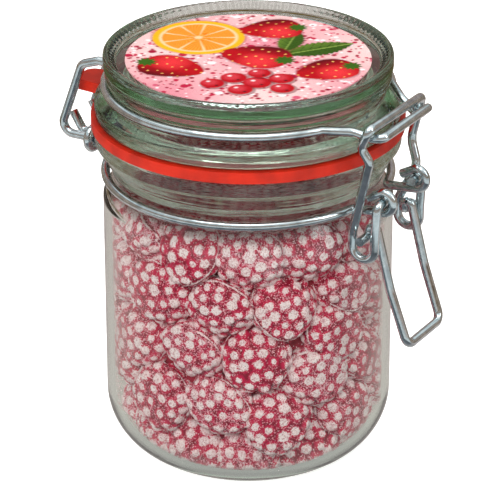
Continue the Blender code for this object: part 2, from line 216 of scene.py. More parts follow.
def bent(points: list[Point], steps: int = 8) -> list[Vector]:
    """Rounds the corners of a route.

    Args:
        points: (x, y, z) or (x, y, z, radius); a point with no radius stays as it is.
        steps: how many steps each rounded corner has.

    Returns:
        The points of the rounded route.
    """
    route = []
    for index, point in enumerate(points):
        here = Vector(point[:3])
        radius = point[3] if len(point) > 3 else 0.0
        if radius == 0.0 or index in (0, len(points) - 1):
            route.append(here)
            continue
        back = (Vector(points[index - 1][:3]) - here).normalized()
        ahead = (Vector(points[index + 1][:3]) - here).normalized()
        half = 0.5 * back.angle(ahead)
        reach = radius / math.tan(half)
        centre = here + (back + ahead).normalized() * (radius / math.sin(half))
        first = here + back * reach - centre
        last = here + ahead * reach - centre
        sweep = first.angle(last)
        for i in range(steps + 1):
            a = sweep * i / steps
            way = first * math.sin(sweep - a) + last * math.sin(a)
            route.append(centre + way / math.sin(sweep))
    return route


def profile(points: list[Point], steps: int = 5) -> list[Vector]:
    """A turned outline with rounded corners.

    Args:
        points: (radius, height) or (radius, height, corner radius), in millimetres.
        steps: how many steps each rounded corner has.

    Returns:
        The outline in the XZ plane, in metres.
    """
    lifted = [(p[0] * MM, 0.0, p[1] * MM, *(r * MM for r in p[2:])) for p in points]
    return bent(lifted, steps)


def arc(centre: tuple[float, float], radius: float, start: float, end: float,
        steps: int) -> list[tuple[float, float]]:
    """Points of a round of a profile, from one angle in degrees to another."""
    turns = [math.radians(start + (end - start) * i / steps) for i in range(steps + 1)]
    return [(centre[0] + radius * math.cos(a), centre[1] + radius * math.sin(a)) for a in turns]


def ring_arc(radius: float, z: float, start: float, end: float, steps: int) -> list[Point]:
    """Points of a level ring from one azimuth in degrees to another."""
    return [(x, y, z) for x, y in arc((0.0, 0.0), radius, start, end, steps)]


def opposite(points: list[Point]) -> list[Point]:
    """The same route on the other side of the XZ plane, run backwards."""
    return [(point[0], -point[1], *point[2:]) for point in reversed(points)]


def put_on(thing: bpy.types.Object, body: Body, slot: str, *nodes: str) -> None:
    """Makes a piece ride on a body and stand for CAD nodes.

    Args:
        thing: the finished piece.
        body: the body that it moves with.
        slot: the record's material slot; not used.
        nodes: the CAD nodes that it replaces.
    """
    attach(thing, body.value)
    if nodes:
        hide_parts(*nodes)
    log.info("%s rides on %s: %d faces", thing.name, body.value, len(thing.data.polygons))


# ---------------------------------------------------------------- finishes


def add(tree: bpy.types.NodeTree, kind: str, settings: dict | None = None,
        links: dict | None = None) -> bpy.types.Node:
    """Adds a node with its settings and links.

    Args:
        tree: the tree that gets the node.
        kind: the node's type, without the prefix that all have.
        settings: values for inputs, by name or number, or for the node's own properties.
        links: sockets, or nodes with their first output, that feed inputs, by name or number.

    Returns:
        The new node.
    """
    made = tree.nodes.new("ShaderNode" + kind)
    for key, value in (settings or {}).items():
        if isinstance(key, str) and hasattr(made, key):
            setattr(made, key, value)
    for key, value in (settings or {}).items():
        if isinstance(key, int) or not hasattr(made, key):
            made.inputs[key].default_value = value
    for key, source in (links or {}).items():
        first = isinstance(source, bpy.types.Node)
        tree.links.new(source.outputs[0] if first else source, made.inputs[key])
    return made


def new_material(name: str) -> tuple[bpy.types.Material, bpy.types.NodeTree, Source]:
    """Starts a material.

    Args:
        name: what the material is.

    Returns:
        The material, its node tree and its place on the object, in metres.
    """
    material = bpy.data.materials.new(name)
    material.use_nodes = True
    tree = material.node_tree
    tree.nodes.clear()
    return material, tree, add(tree, "TexCoord").outputs["Object"]


def end_material(material: bpy.types.Material, **shaders: bpy.types.Node) -> bpy.types.Material:
    """Gives a material its output, fed by its Surface shader and, for glass, a Volume one."""
    add(material.node_tree, "OutputMaterial", links=shaders)
    return material


def ramp(tree: bpy.types.NodeTree, source: Source, stops: Stops) -> bpy.types.Node:
    """A colour ramp over a value.

    Args:
        tree: the tree that gets the ramp.
        source: the value that is looked up.
        stops: (position, sRGB hex colour) pairs in order.

    Returns:
        The ramp.
    """
    made = add(tree, "ValToRGB", links={"Fac": source})
    elements = made.color_ramp.elements
    while len(elements) < len(stops):
        elements.new(1.0)
    for element, (place, colour) in zip(elements, stops):
        element.position = place
        element.color = linear(colour)
    return made


@dataclass(frozen=True)
class BottleGlass:
    """Soda-lime bottle glass, pressed in a mould and fire-polished.

    Clear and very smooth, with a faint wave from the mould, fine rings that the mould's parts
    leave round neck and lid, and a green cast from iron that only shows where light runs a long
    way through it, as in the base and the rims.
    """

    name: str
    ringed_from: float                  # millimetres up from the base, where the fine rings start
    body: str = "#FCFFFD"
    cast: str = "#98D8A4"
    cast_density: float = 24.0          # per metre of glass
    wave_mm: float = 9.0                # spacing of the faint mould waves
    wave_depth: float = 0.05
    ring_mm: float = 0.9                # spacing of the fine rings
    ring_run_mm: float = 26.0           # how far one ring runs before it fades
    ring_depth: float = 0.5
    fade_mm: float = 3.0                # height over which the rings set in
    straight_passes: str = "#F6FBF8"    # lamp light that each face of a straight wall lets through
    curved_passes: str = "#626662"      # less where the ringed parts throw it aside

    def build(self) -> bpy.types.Material:
        """Makes the glass; lamps pass it, to light the inside, but less so where it is ringed.

        Returns:
            The finished material.
        """
        material, tree, place = new_material(self.name)
        wave = add(tree, "TexNoise", {"Scale": 1.0 / (self.wave_mm * MM), "Detail": 1.0},
                   {"Vector": place})
        bump = add(tree, "Bump", {"Strength": self.wave_depth, "Distance": 0.4 * MM},
                   {"Height": wave})
        run, pitch = 1.0 / (self.ring_run_mm * MM), 1.0 / (self.ring_mm * MM)
        rings = add(tree, "Mapping", {"Scale": (run, run, pitch)}, {"Vector": place})
        rings = add(tree, "TexNoise", {"Scale": 1.0, "Detail": 2.0}, {"Vector": rings})
        height = add(tree, "SeparateXYZ", links={"Vector": place}).outputs["Z"]
        start = self.ringed_from * MM
        curved = add(tree, "MapRange",
                     {"From Min": start, "From Max": start + self.fade_mm * MM}, {"Value": height})
        ringed = add(tree, "Math", {"operation": "MULTIPLY", 1: self.ring_depth}, {0: curved})
        bump = add(tree, "Bump", {"Distance": 0.3 * MM},
                   {"Height": rings, "Strength": ringed, "Normal": bump})
        glass = add(tree, "BsdfPrincipled",
                    {"Base Color": linear(self.body), "Roughness": 0.0, "IOR": 1.5,
                     "Transmission Weight": 1.0}, {"Normal": bump})
        passed = add(tree, "Mix",
                     {"data_type": "RGBA", 6: linear(self.straight_passes),
                      7: linear(self.curved_passes)}, {0: curved})
        clear = add(tree, "BsdfTransparent", links={"Color": passed.outputs[2]})
        rays = add(tree, "LightPath").outputs["Is Shadow Ray"]
        surface = add(tree, "MixShader", links={"Fac": rays, 1: glass, 2: clear})
        depth = add(tree, "VolumeAbsorption",
                    {"Color": linear(self.cast), "Density": self.cast_density})
        return end_material(material, Surface=surface, Volume=depth)


@dataclass(frozen=True)
class ZincPlatedWire:
    """Hard-drawn steel wire, bright zinc plated.

    Cool bluish metal with long sharp highlights, a fine grit and a cloudy zinc bloom.
    """

    name: str = "zinc_plated_wire"
    bright: str = "#E4EEF0"
    dull: str = "#C4D0D4"
    cloud_mm: float = 3.0               # size of the bloom's clouds
    grit_mm: float = 0.35

    def build(self) -> bpy.types.Material:
        """Makes the plated metal.

        Returns:
            The finished material.
        """
        material, tree, place = new_material(self.name)
        cloud = add(tree, "TexNoise",
                    {"Scale": 1.0 / (self.cloud_mm * MM), "Detail": 3.0}, {"Vector": place})
        grit = add(tree, "TexNoise", {"Scale": 1.0 / (self.grit_mm * MM), "Detail": 2.0},
                   {"Vector": place})
        colour = ramp(tree, cloud, ((0.3, self.dull), (0.65, self.bright)))
        rough = add(tree, "MapRange",
                    {"From Min": 0.3, "From Max": 0.7, "To Min": 0.1, "To Max": 0.18},
                    {"Value": cloud})
        bump = add(tree, "Bump", {"Strength": 0.05, "Distance": 0.05 * MM}, {"Height": grit})
        metal = add(tree, "BsdfPrincipled", {"Metallic": 1.0},
                    {"Base Color": colour, "Roughness": rough, "Normal": bump})
        return end_material(material, Surface=metal)


@dataclass(frozen=True)
class ShearedSteel:
    """The sheared end of a plated wire: bare grey steel, rougher and darker than the plating."""

    name: str = "sheared_steel"
    colour: str = "#4A4C4E"
    shaded: str = "#2E3032"
    grit_mm: float = 0.5

    def build(self) -> bpy.types.Material:
        """Makes the bare steel.

        Returns:
            The finished material.
        """
        material, tree, place = new_material(self.name)
        grit = add(tree, "TexNoise", {"Scale": 1.0 / (self.grit_mm * MM), "Detail": 3.0},
                   {"Vector": place})
        colour = ramp(tree, grit, ((0.3, self.shaded), (0.7, self.colour)))
        metal = add(tree, "BsdfPrincipled", {"Metallic": 1.0, "Roughness": 0.45},
                    {"Base Color": colour})
        return end_material(material, Surface=metal)


@dataclass(frozen=True)
class SealRubber:
    """Natural rubber sealing ring, moulded and stamped: dense orange-red with a satin skin."""

    name: str = "seal_rubber"
    colour: str = "#A61D08"
    worn: str = "#8A180A"
    worn_mm: float = 6.0                # size of the worn patches
    grain_mm: float = 0.4

    def build(self) -> bpy.types.Material:
        """Makes the rubber.

        Returns:
            The finished material.
        """
        material, tree, place = new_material(self.name)
        cloud = add(tree, "TexNoise", {"Scale": 1.0 / (self.worn_mm * MM), "Detail": 4.0},
                    {"Vector": place})
        grain = add(tree, "TexNoise", {"Scale": 1.0 / (self.grain_mm * MM), "Detail": 2.0},
                    {"Vector": place})
        colour = ramp(tree, cloud, ((0.3, self.worn), (0.62, self.colour)))
        bump = add(tree, "Bump", {"Strength": 0.25, "Distance": 0.08 * MM}, {"Height": grain})
        rubber = add(tree, "BsdfPrincipled",
                     {"Roughness": 0.5, "Specular IOR Level": 0.18, "Subsurface Weight": 0.15,
                      "Subsurface Scale": 1.5 * MM, "Subsurface Radius": (1.0, 0.25, 0.12)},
                     {"Base Color": colour, "Normal": bump})
        return end_material(material, Surface=rubber)


@dataclass(frozen=True)
class SugaredCandy:
    """Boiled-sugar candy rolled in sanding sugar.

    Crimson glassy sugar shows between the knobs, painted darker in the grooves as painted shade
    and lighter on the knob tops as painted highlight. White sugar packs on each knob and on the
    seam, and single grains of about a third of a millimetre, drawn at their true size, stick all
    over.
    """

    name: str = "sugared_candy"
    crimson: str = "#C41444"
    # deep is painted shade down in the grooves, bright a painted highlight on the knob tops
    deep: str = "#900C2C"
    bright: str = "#DA2050"
    sugar: str = "#FFE2E8"
    shaded_sugar: str = "#D896A2"
    syrupy_sugar: str = "#D85070"       # grains that the candy's syrup has soaked
    dusty_sugar: str = "#F4BAC6"        # and single ones that it hasn't
    grain_mm: float = 0.33
    ragged_mm: float = 0.9              # size of the ragged edge of a sugar cap
    ragged_share: float = 0.34          # how far it moves that edge
    patch_mm: float = 3.2               # size of the patches that have more or fewer single grains

    def build(self) -> bpy.types.Material:
        """Makes the candy from each candy's own cap, groove and dust attributes.

        Returns:
            The finished material.
        """
        material, tree, place = new_material(self.name)
        reach, dust, groove = (
            add(tree, "Attribute", {"attribute_name": name}).outputs["Fac"]
            for name in ("cap", "dust", "groove"))
        ragged = add(tree, "TexNoise",
                     {"Scale": 1.0 / (self.ragged_mm * MM), "Detail": 2.0, "Roughness": 0.6},
                     {"Vector": place})
        patch = add(tree, "TexNoise",
                    {"Scale": 1.0 / (self.patch_mm * MM), "Detail": 2.0}, {"Vector": place})
        grains = add(tree, "TexVoronoi", {"Scale": 1.0 / (self.grain_mm * MM)}, {"Vector": place})
        chance = add(tree, "SeparateColor", links={"Color": grains.outputs["Color"]})
        # sugar lies where the ragged cap says so, and by chance elsewhere
        edge = add(tree, "Math", {"operation": "MULTIPLY_ADD", 1: self.ragged_share},
                   {0: ragged, 2: reach})
        cap = add(tree, "MapRange",
                  {"From Min": 0.7, "From Max": 0.92, "To Max": 0.98}, {"Value": edge})
        loose = add(tree, "MapRange",
                    {"From Min": 0.36, "From Max": 0.66, "To Min": 0.13, "To Max": 0.41},
                    {"Value": patch})
        cover = add(tree, "Math", {"operation": "ADD"}, {0: cap, 1: loose})
        cover = add(tree, "Math", {"operation": "ADD"}, {0: cover, 1: dust})
        over = add(tree, "Math", {"operation": "SUBTRACT"}, {0: cover, 1: chance.outputs["Red"]})
        share = add(tree, "MapRange", {"From Min": -0.05, "From Max": 0.1}, {"Value": over})
        # crimson by the knobs' height: painted shade in the grooves, painted highlight on the tops
        body = ramp(tree, groove, ((0.0, self.deep), (0.35, self.crimson), (1.0, self.bright)))
        white = ramp(tree, chance.outputs["Green"], ((0.0, self.shaded_sugar), (0.5, self.sugar)))
        single = ramp(tree, chance.outputs["Blue"],
                      ((0.0, self.syrupy_sugar), (0.8, self.dusty_sugar)))
        packed = add(tree, "Math", {"operation": "MULTIPLY", "use_clamp": True, 1: 2.0}, {0: cap})
        grain = add(tree, "Mix", {"data_type": "RGBA"},
                    {0: packed, 6: single, 7: white}).outputs[2]
        colour = add(tree, "Mix", {"data_type": "RGBA"}, {0: share, 6: body, 7: grain}).outputs[2]
        rough = add(tree, "MapRange", {"To Min": 0.3, "To Max": 0.8}, {"Value": share})
        bump = add(tree, "Bump", {"Strength": 0.6, "Distance": 0.2 * MM}, {"Height": share})
        candy = add(tree, "BsdfPrincipled",
                    {"Subsurface Weight": 0.12, "Subsurface Scale": 0.8 * MM,
                     "Subsurface Radius": (1.0, 0.3, 0.3)},
                    {"Base Color": colour, "Roughness": rough, "Normal": bump})
        return end_material(material, Surface=candy)


@dataclass(frozen=True)
class HeapShade:
    """The heap's middle, seen only through gaps: crimson candy and dust, dark as painted shade."""

    name: str = "heap_middle_shade"
    # deep crimson and dusty patches, the core kept dark as painted shade of the candies deeper in
    deep: str = "#8E0A24"
    dusty: str = "#C83A52"
    patch_mm: float = 3.0

    def build(self) -> bpy.types.Material:
        """Makes the dark crimson.

        Returns:
            The finished material.
        """
        material, tree, place = new_material(self.name)
        patch = add(tree, "TexNoise", {"Scale": 1.0 / (self.patch_mm * MM), "Detail": 4.0},
                    {"Vector": place})
        colour = ramp(tree, patch, ((0.35, self.deep), (0.65, self.dusty)))
        skin = add(tree, "BsdfPrincipled", {"Roughness": 0.6}, {"Base Color": colour})
        return end_material(material, Surface=skin)


@dataclass(frozen=True)
class PrintedCard:
    """Thin offset-printed card: the print's inks over a fine dot grain.

    It is thin enough to let part of the light through, so that its underside glows in the lid.
    """

    name: str = "printed_card"
    attribute: str = "ink"
    dot_mm: float = 0.3
    passes: str = "#F6DCDC"             # colour of the light that comes through
    shine_through: float = 0.34         # share that the card scatters to its other side
    let_through: float = 0.5            # share of a lamp's light that each face passes

    def build(self) -> bpy.types.Material:
        """Makes the print from the ink attribute.

        Returns:
            The finished material.
        """
        material, tree, place = new_material(self.name)
        ink = add(tree, "Attribute", {"attribute_name": self.attribute})
        dots = add(tree, "TexNoise", {"Scale": 1.0 / (self.dot_mm * MM), "Detail": 2.0},
                   {"Vector": place})
        value = add(tree, "MapRange",
                    {"From Min": 0.3, "From Max": 0.7, "To Min": 0.84, "To Max": 1.06},
                    {"Value": dots})
        colour = add(tree, "HueSaturation", links={"Color": ink.outputs["Color"], "Value": value})
        card = add(tree, "BsdfPrincipled",
                   {"Roughness": 0.6, "Specular IOR Level": 0.08}, {"Base Color": colour})
        glow = add(tree, "BsdfTranslucent", links={"Color": colour})
        card = add(tree, "MixShader", {"Fac": self.shine_through}, {1: card, 2: glow})
        clear = add(tree, "BsdfTransparent", {"Color": linear(self.passes)})
        rays = add(tree, "LightPath").outputs["Is Shadow Ray"]
        passed = add(tree, "Math", {"operation": "MULTIPLY", 1: self.let_through}, {0: rays})
        card = add(tree, "MixShader", links={"Fac": passed, 1: card, 2: clear})
        return end_material(material, Surface=card)


@dataclass(frozen=True)
class PaleSweep:
    """Matte white paper sweep under the jar.

    Glass and wire mirror it as a table: pale near the jar, with brown bands further out, and
    greyer in front. Stops are (metres from the jar, colour).
    """

    name: str = "pale_sweep"
    colour: str = "#F6F6F6"
    lift: float = 0.55                  # own light, so that the sweep comes out near white
    facing: float = 31.0                # azimuth of the table's grey front, in degrees
    mirrored: Stops = (
        (0.0, "#CCC8C2"), (0.1, "#CCC2BE"), (0.19, "#C8BCB8"), (0.205, "#6A4A38"),
        (0.215, "#D8C4C0"), (0.235, "#4A3222"), (0.25, "#CCC2B8"), (0.275, "#4A3A28"),
        (0.34, "#8A7048"), (0.37, "#22180E"), (0.42, "#D8D4D0"), (0.48, "#3A2A1A"),
        (0.56, "#C8C0BC"), (0.64, "#4A3420"), (0.76, "#A88E70"), (0.88, "#3A2818"),
        (1.0, "#8A7460"))
    mirrored_front: Stops = (
        (0.0, "#8E9296"), (0.1, "#6C6E74"), (0.17, "#565A60"), (0.19, "#2A2018"),
        (0.2, "#D8E2E6"), (0.24, "#EEF4F6"), (0.248, "#6A5A48"), (0.256, "#E0E8EA"),
        (0.284, "#F4FAFC"), (0.292, "#6A5A48"), (0.305, "#B8B8B0"), (0.33, "#DDE6EA"),
        (0.42, "#F4F8FA"), (0.5, "#5A5E60"), (0.6, "#E0E6E8"), (1.0, "#B8BCBC"))
    strays: float = 0.05                # metres that a band wanders over the table
    waver: float = 9.0                  # how often it does, per metre
    blend: float = 0.07                 # metres in front of the jar over which the front sets in

    def build(self) -> bpy.types.Material:
        """Makes the paper and what glass and wire see of it.

        Returns:
            The finished material.
        """
        material, tree, place = new_material(self.name)
        paper = add(tree, "BsdfPrincipled",
                    {"Base Color": linear(self.colour), "Roughness": 0.9,
                     "Specular IOR Level": 0.0, "Emission Color": (1, 1, 1, 1),
                     "Emission Strength": self.lift})
        grain = add(tree, "TexNoise", {"Scale": self.waver, "Detail": 4.0}, {"Vector": place})
        away = add(tree, "VectorMath", {"operation": "LENGTH"}, {0: place})
        away = add(tree, "Math", {"operation": "MULTIPLY_ADD", 1: self.strays},
                   {0: grain, 2: away.outputs["Value"]})
        away = add(tree, "Math", {"operation": "SUBTRACT", 1: 0.5 * self.strays}, {0: away})
        a = math.radians(self.facing)
        ahead = add(tree, "VectorMath",
                    {"operation": "DOT_PRODUCT", 1: (math.sin(a), -math.cos(a), 0.0)}, {0: place})
        ahead = add(tree, "MapRange", {"From Max": self.blend}, {"Value": ahead.outputs["Value"]})
        around, front = ramp(tree, away, self.mirrored), ramp(tree, away, self.mirrored_front)
        mirrored = add(tree, "Mix", {"data_type": "RGBA"},
                       {0: ahead, 6: around, 7: front}).outputs[2]
        table = add(tree, "Emission", {"Strength": 0.95}, {"Color": mirrored})
        rays = add(tree, "LightPath").outputs["Is Glossy Ray"]
        shader = add(tree, "MixShader", links={"Fac": rays, 1: paper, 2: table})
        return end_material(material, Surface=shader)


# ---------------------------------------------------------------- glass


@dataclass
class GlassJar:
    """The jar: base, heel, straight wall, wire groove, neck and flanged mouth. Millimetres."""

    radius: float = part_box("jar")[1][0] / MM - 2.0      # straight wall, outside
    wall: float = 2.2
    mouth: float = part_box("jar")[1][0] / MM
    mouth_top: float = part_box("jar")[1][2] / MM
    bore: float = 35.6
    neck: float = 38.4
    neck_z: float = 85.6
    shoulder_z: float = 79.0
    heel: float = 18.2
    inner_heel: float = 16.0
    floor_z: float = 2.6
    steps: int = 160

    def outline(self) -> list[Vector]:
        """The wall's outline from the centre of the base, up outside and down inside.

        Returns:
            The outline in the XZ plane, in metres.
        """
        inner = self.radius - self.wall
        outside = [
            (0.0, 0.9), (21.0, 0.9, 3.0), (24.0, 0.0, 1.0), (27.0, 0.0, 1.5), (28.7, 0.5, 2.0),
            *arc((self.radius - self.heel, self.heel), self.heel, -60.0, 0.0, 14),
            (self.radius, self.shoulder_z, 3.5), (self.neck + 0.1, self.neck_z - 2.9, 1.2),
            (self.neck, self.neck_z), (self.neck + 0.1, self.neck_z + 2.0, 1.6),
            (self.neck + 1.5, self.neck_z + 4.6, 3.0),
            (self.mouth - 1.7, self.mouth_top - 5.4, 1.2), (self.mouth, self.mouth_top - 4.4, 1.0),
            (self.mouth, self.mouth_top, 1.3), (self.bore, self.mouth_top, 1.2),
        ]
        inside = [
            (self.bore, self.neck_z + 5.0, 2.0), (self.bore + 0.4, self.neck_z - 1.6, 2.0),
            (inner, self.shoulder_z - 0.6, 3.0),
            *arc((inner - self.inner_heel, self.floor_z + self.inner_heel), self.inner_heel,
                 0.0, -90.0, 14),
            (0.0, self.floor_z + 1.0),
        ]
        return profile(outside + inside)

    def build(self, glass: bpy.types.Material) -> bpy.types.Object:
        """Turns the jar and dresses it in glass.

        Args:
            glass: the jar's finish.

        Returns:
            The finished piece.
        """
        jar = draw_lines("glass_jar", [self.outline()], closed=False)
        turn(jar, self.steps)
        jar.data.materials.append(glass)
        put_on(jar, Body.JAR, "jar_glass", "jar")
        return jar


@dataclass
class GlassLid:
    """The lid: flange, wire groove and a raised knurled rim round a flat recess. Millimetres."""

    flange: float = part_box("lid")[1][0] / MM
    under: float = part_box("lid")[0][2] / MM
    top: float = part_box("lid")[1][2] / MM
    radius: float = 40.4
    groove: float = 38.2
    wire_z: float = 111.4
    recess: float = 36.8
    recess_z: float = 118.0
    hollow: float = 33.5
    hollow_z: float = 113.0
    knurls: int = 108
    knurl_inner: float = 37.0
    knurl_outer: float = 39.0
    knurl_depth: float = 0.55
    steps: int = 648                    # six steps for each knurl

    def outline(self) -> list[Vector]:
        """The lid's outline from the centre of its underside round to the centre of its top.

        Returns:
            The outline in the XZ plane, in metres.
        """
        shelf = self.under + 4.2
        return profile([
            (0.0, self.hollow_z), (self.hollow - 1.6, self.hollow_z, 3.5),
            (self.hollow, self.under + 5.0, 4.0), (self.hollow + 1.0, self.under, 0.8),
            (self.flange, self.under, 1.0), (self.flange, shelf, 1.2),
            (self.groove + 1.3, self.wire_z - 1.9, 1.0), (self.groove, self.wire_z - 1.2, 0.8),
            (self.groove, self.wire_z + 1.1, 0.8), (self.radius - 0.5, self.wire_z + 2.3, 0.9),
            (self.radius - 0.4, self.top - 5.0, 0.5), (self.radius - 0.9, self.top - 4.5, 0.3),
            (self.radius, self.top - 3.9, 0.8), (self.radius, self.top, 1.0),
            (self.knurl_outer + 0.1, self.top, 0.3), (self.knurl_outer - 0.5, self.top - 0.35),
            (self.knurl_outer - 1.0, self.top - 0.7),
            (self.knurl_inner + 0.5, self.top - 1.2),
            (self.knurl_inner + 0.1, self.top - 1.7, 0.4), (self.recess, self.recess_z, 0.5),
            (0.0, self.recess_z),
        ], steps=4)

    def knurl(self, lid: bpy.types.Object) -> None:
        """Presses the knurls into the slope inside the rim.

        Args:
            lid: the turned lid.
        """
        mesh = lid.data
        places = points_of(mesh)
        reach = np.hypot(places[:, 0], places[:, 1]) / MM
        around = np.arctan2(places[:, 1], places[:, 0])
        band = (np.clip((reach - self.knurl_inner) / 0.4, 0, 1)
                * np.clip((self.knurl_outer - reach) / 0.3, 0, 1))
        band[places[:, 2] < (self.top - 2.2) * MM] = 0.0
        places[:, 2] -= band * self.knurl_depth * MM * (0.5 + 0.5 * np.cos(self.knurls * around))
        mesh.vertices.foreach_set("co", places.ravel())
        mesh.update()

    def build(self, glass: bpy.types.Material) -> bpy.types.Object:
        """Turns the lid, knurls its rim and dresses it in glass.

        Args:
            glass: the lid's finish.

        Returns:
            The finished piece.
        """
        lid = draw_lines("glass_lid", [self.outline()], closed=False)
        turn(lid, self.steps)
        self.knurl(lid)
        lid.data.materials.append(glass)
        put_on(lid, Body.JAR, "lid_glass", "lid")
        return lid


# ---------------------------------------------------------------- seal


@dataclass
class SealRing:
    """The rubber ring and its pull tongue. Millimetres."""

    outer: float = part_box("seal")[1][0] / MM
    reach: float = -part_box("seal")[0][0] / MM
    low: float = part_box("seal")[0][2] / MM
    high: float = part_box("seal")[1][2] / MM
    bore: float = 36.6
    half_width: float = 4.8
    tip: float = 3.0
    edge: float = 0.55
    steps: int = 160

    def outline(self) -> list[Point]:
        """The outer edge of ring and tongue, at the ring's underside.

        Returns:
            The closed outline, in metres.
        """
        start = math.degrees(math.asin((self.half_width + 3.0) / self.outer))
        ring = ring_arc(self.outer, self.low, 180.0 + start, 540.0 - start, self.steps)
        side = [(-self.outer - 1.4, self.half_width + 0.4, self.low, 3.0),
                (-self.reach, self.half_width, self.low, self.tip)]
        middle = (-self.reach, 0.0, self.low)
        tongue = bent([ring[-1], *side, middle, *opposite(side), ring[0]], 6)[1:-1]
        return [tuple(v * MM for v in p[:3]) for p in [*ring, *tongue]]

    def build(self, rubber: bpy.types.Material) -> bpy.types.Object:
        """Cuts the ring out of a sheet, gives it its thickness and rounds its edges.

        Args:
            rubber: the seal's finish.

        Returns:
            The finished piece.
        """
        hole = [tuple(v * MM for v in p)
                for p in ring_arc(self.bore, self.low, 0.0, 360.0, self.steps)[:-1]]
        seal = draw_lines("rubber_seal", [self.outline(), hole], closed=True)
        open_mesh(seal)
        bpy.ops.mesh.fill(use_beauty=True)
        bpy.ops.mesh.extrude_region_move(
            TRANSFORM_OT_translate={"value": (0, 0, (self.high - self.low) * MM)})
        bpy.ops.object.mode_set(mode="OBJECT")
        face_outwards(seal)
        edge = seal.modifiers.new("edge", "BEVEL")
        edge.width = self.edge * MM
        edge.segments = 3
        edge.limit_method = "ANGLE"
        edge.angle_limit = math.radians(50)
        choose(seal)
        bpy.ops.object.modifier_apply(modifier=edge.name)
        smooth(seal, 40.0)
        seal.data.materials.append(rubber)
        put_on(seal, Body.JAR, "seal_rubber", "seal")
        return seal


# ---------------------------------------------------------------- wires


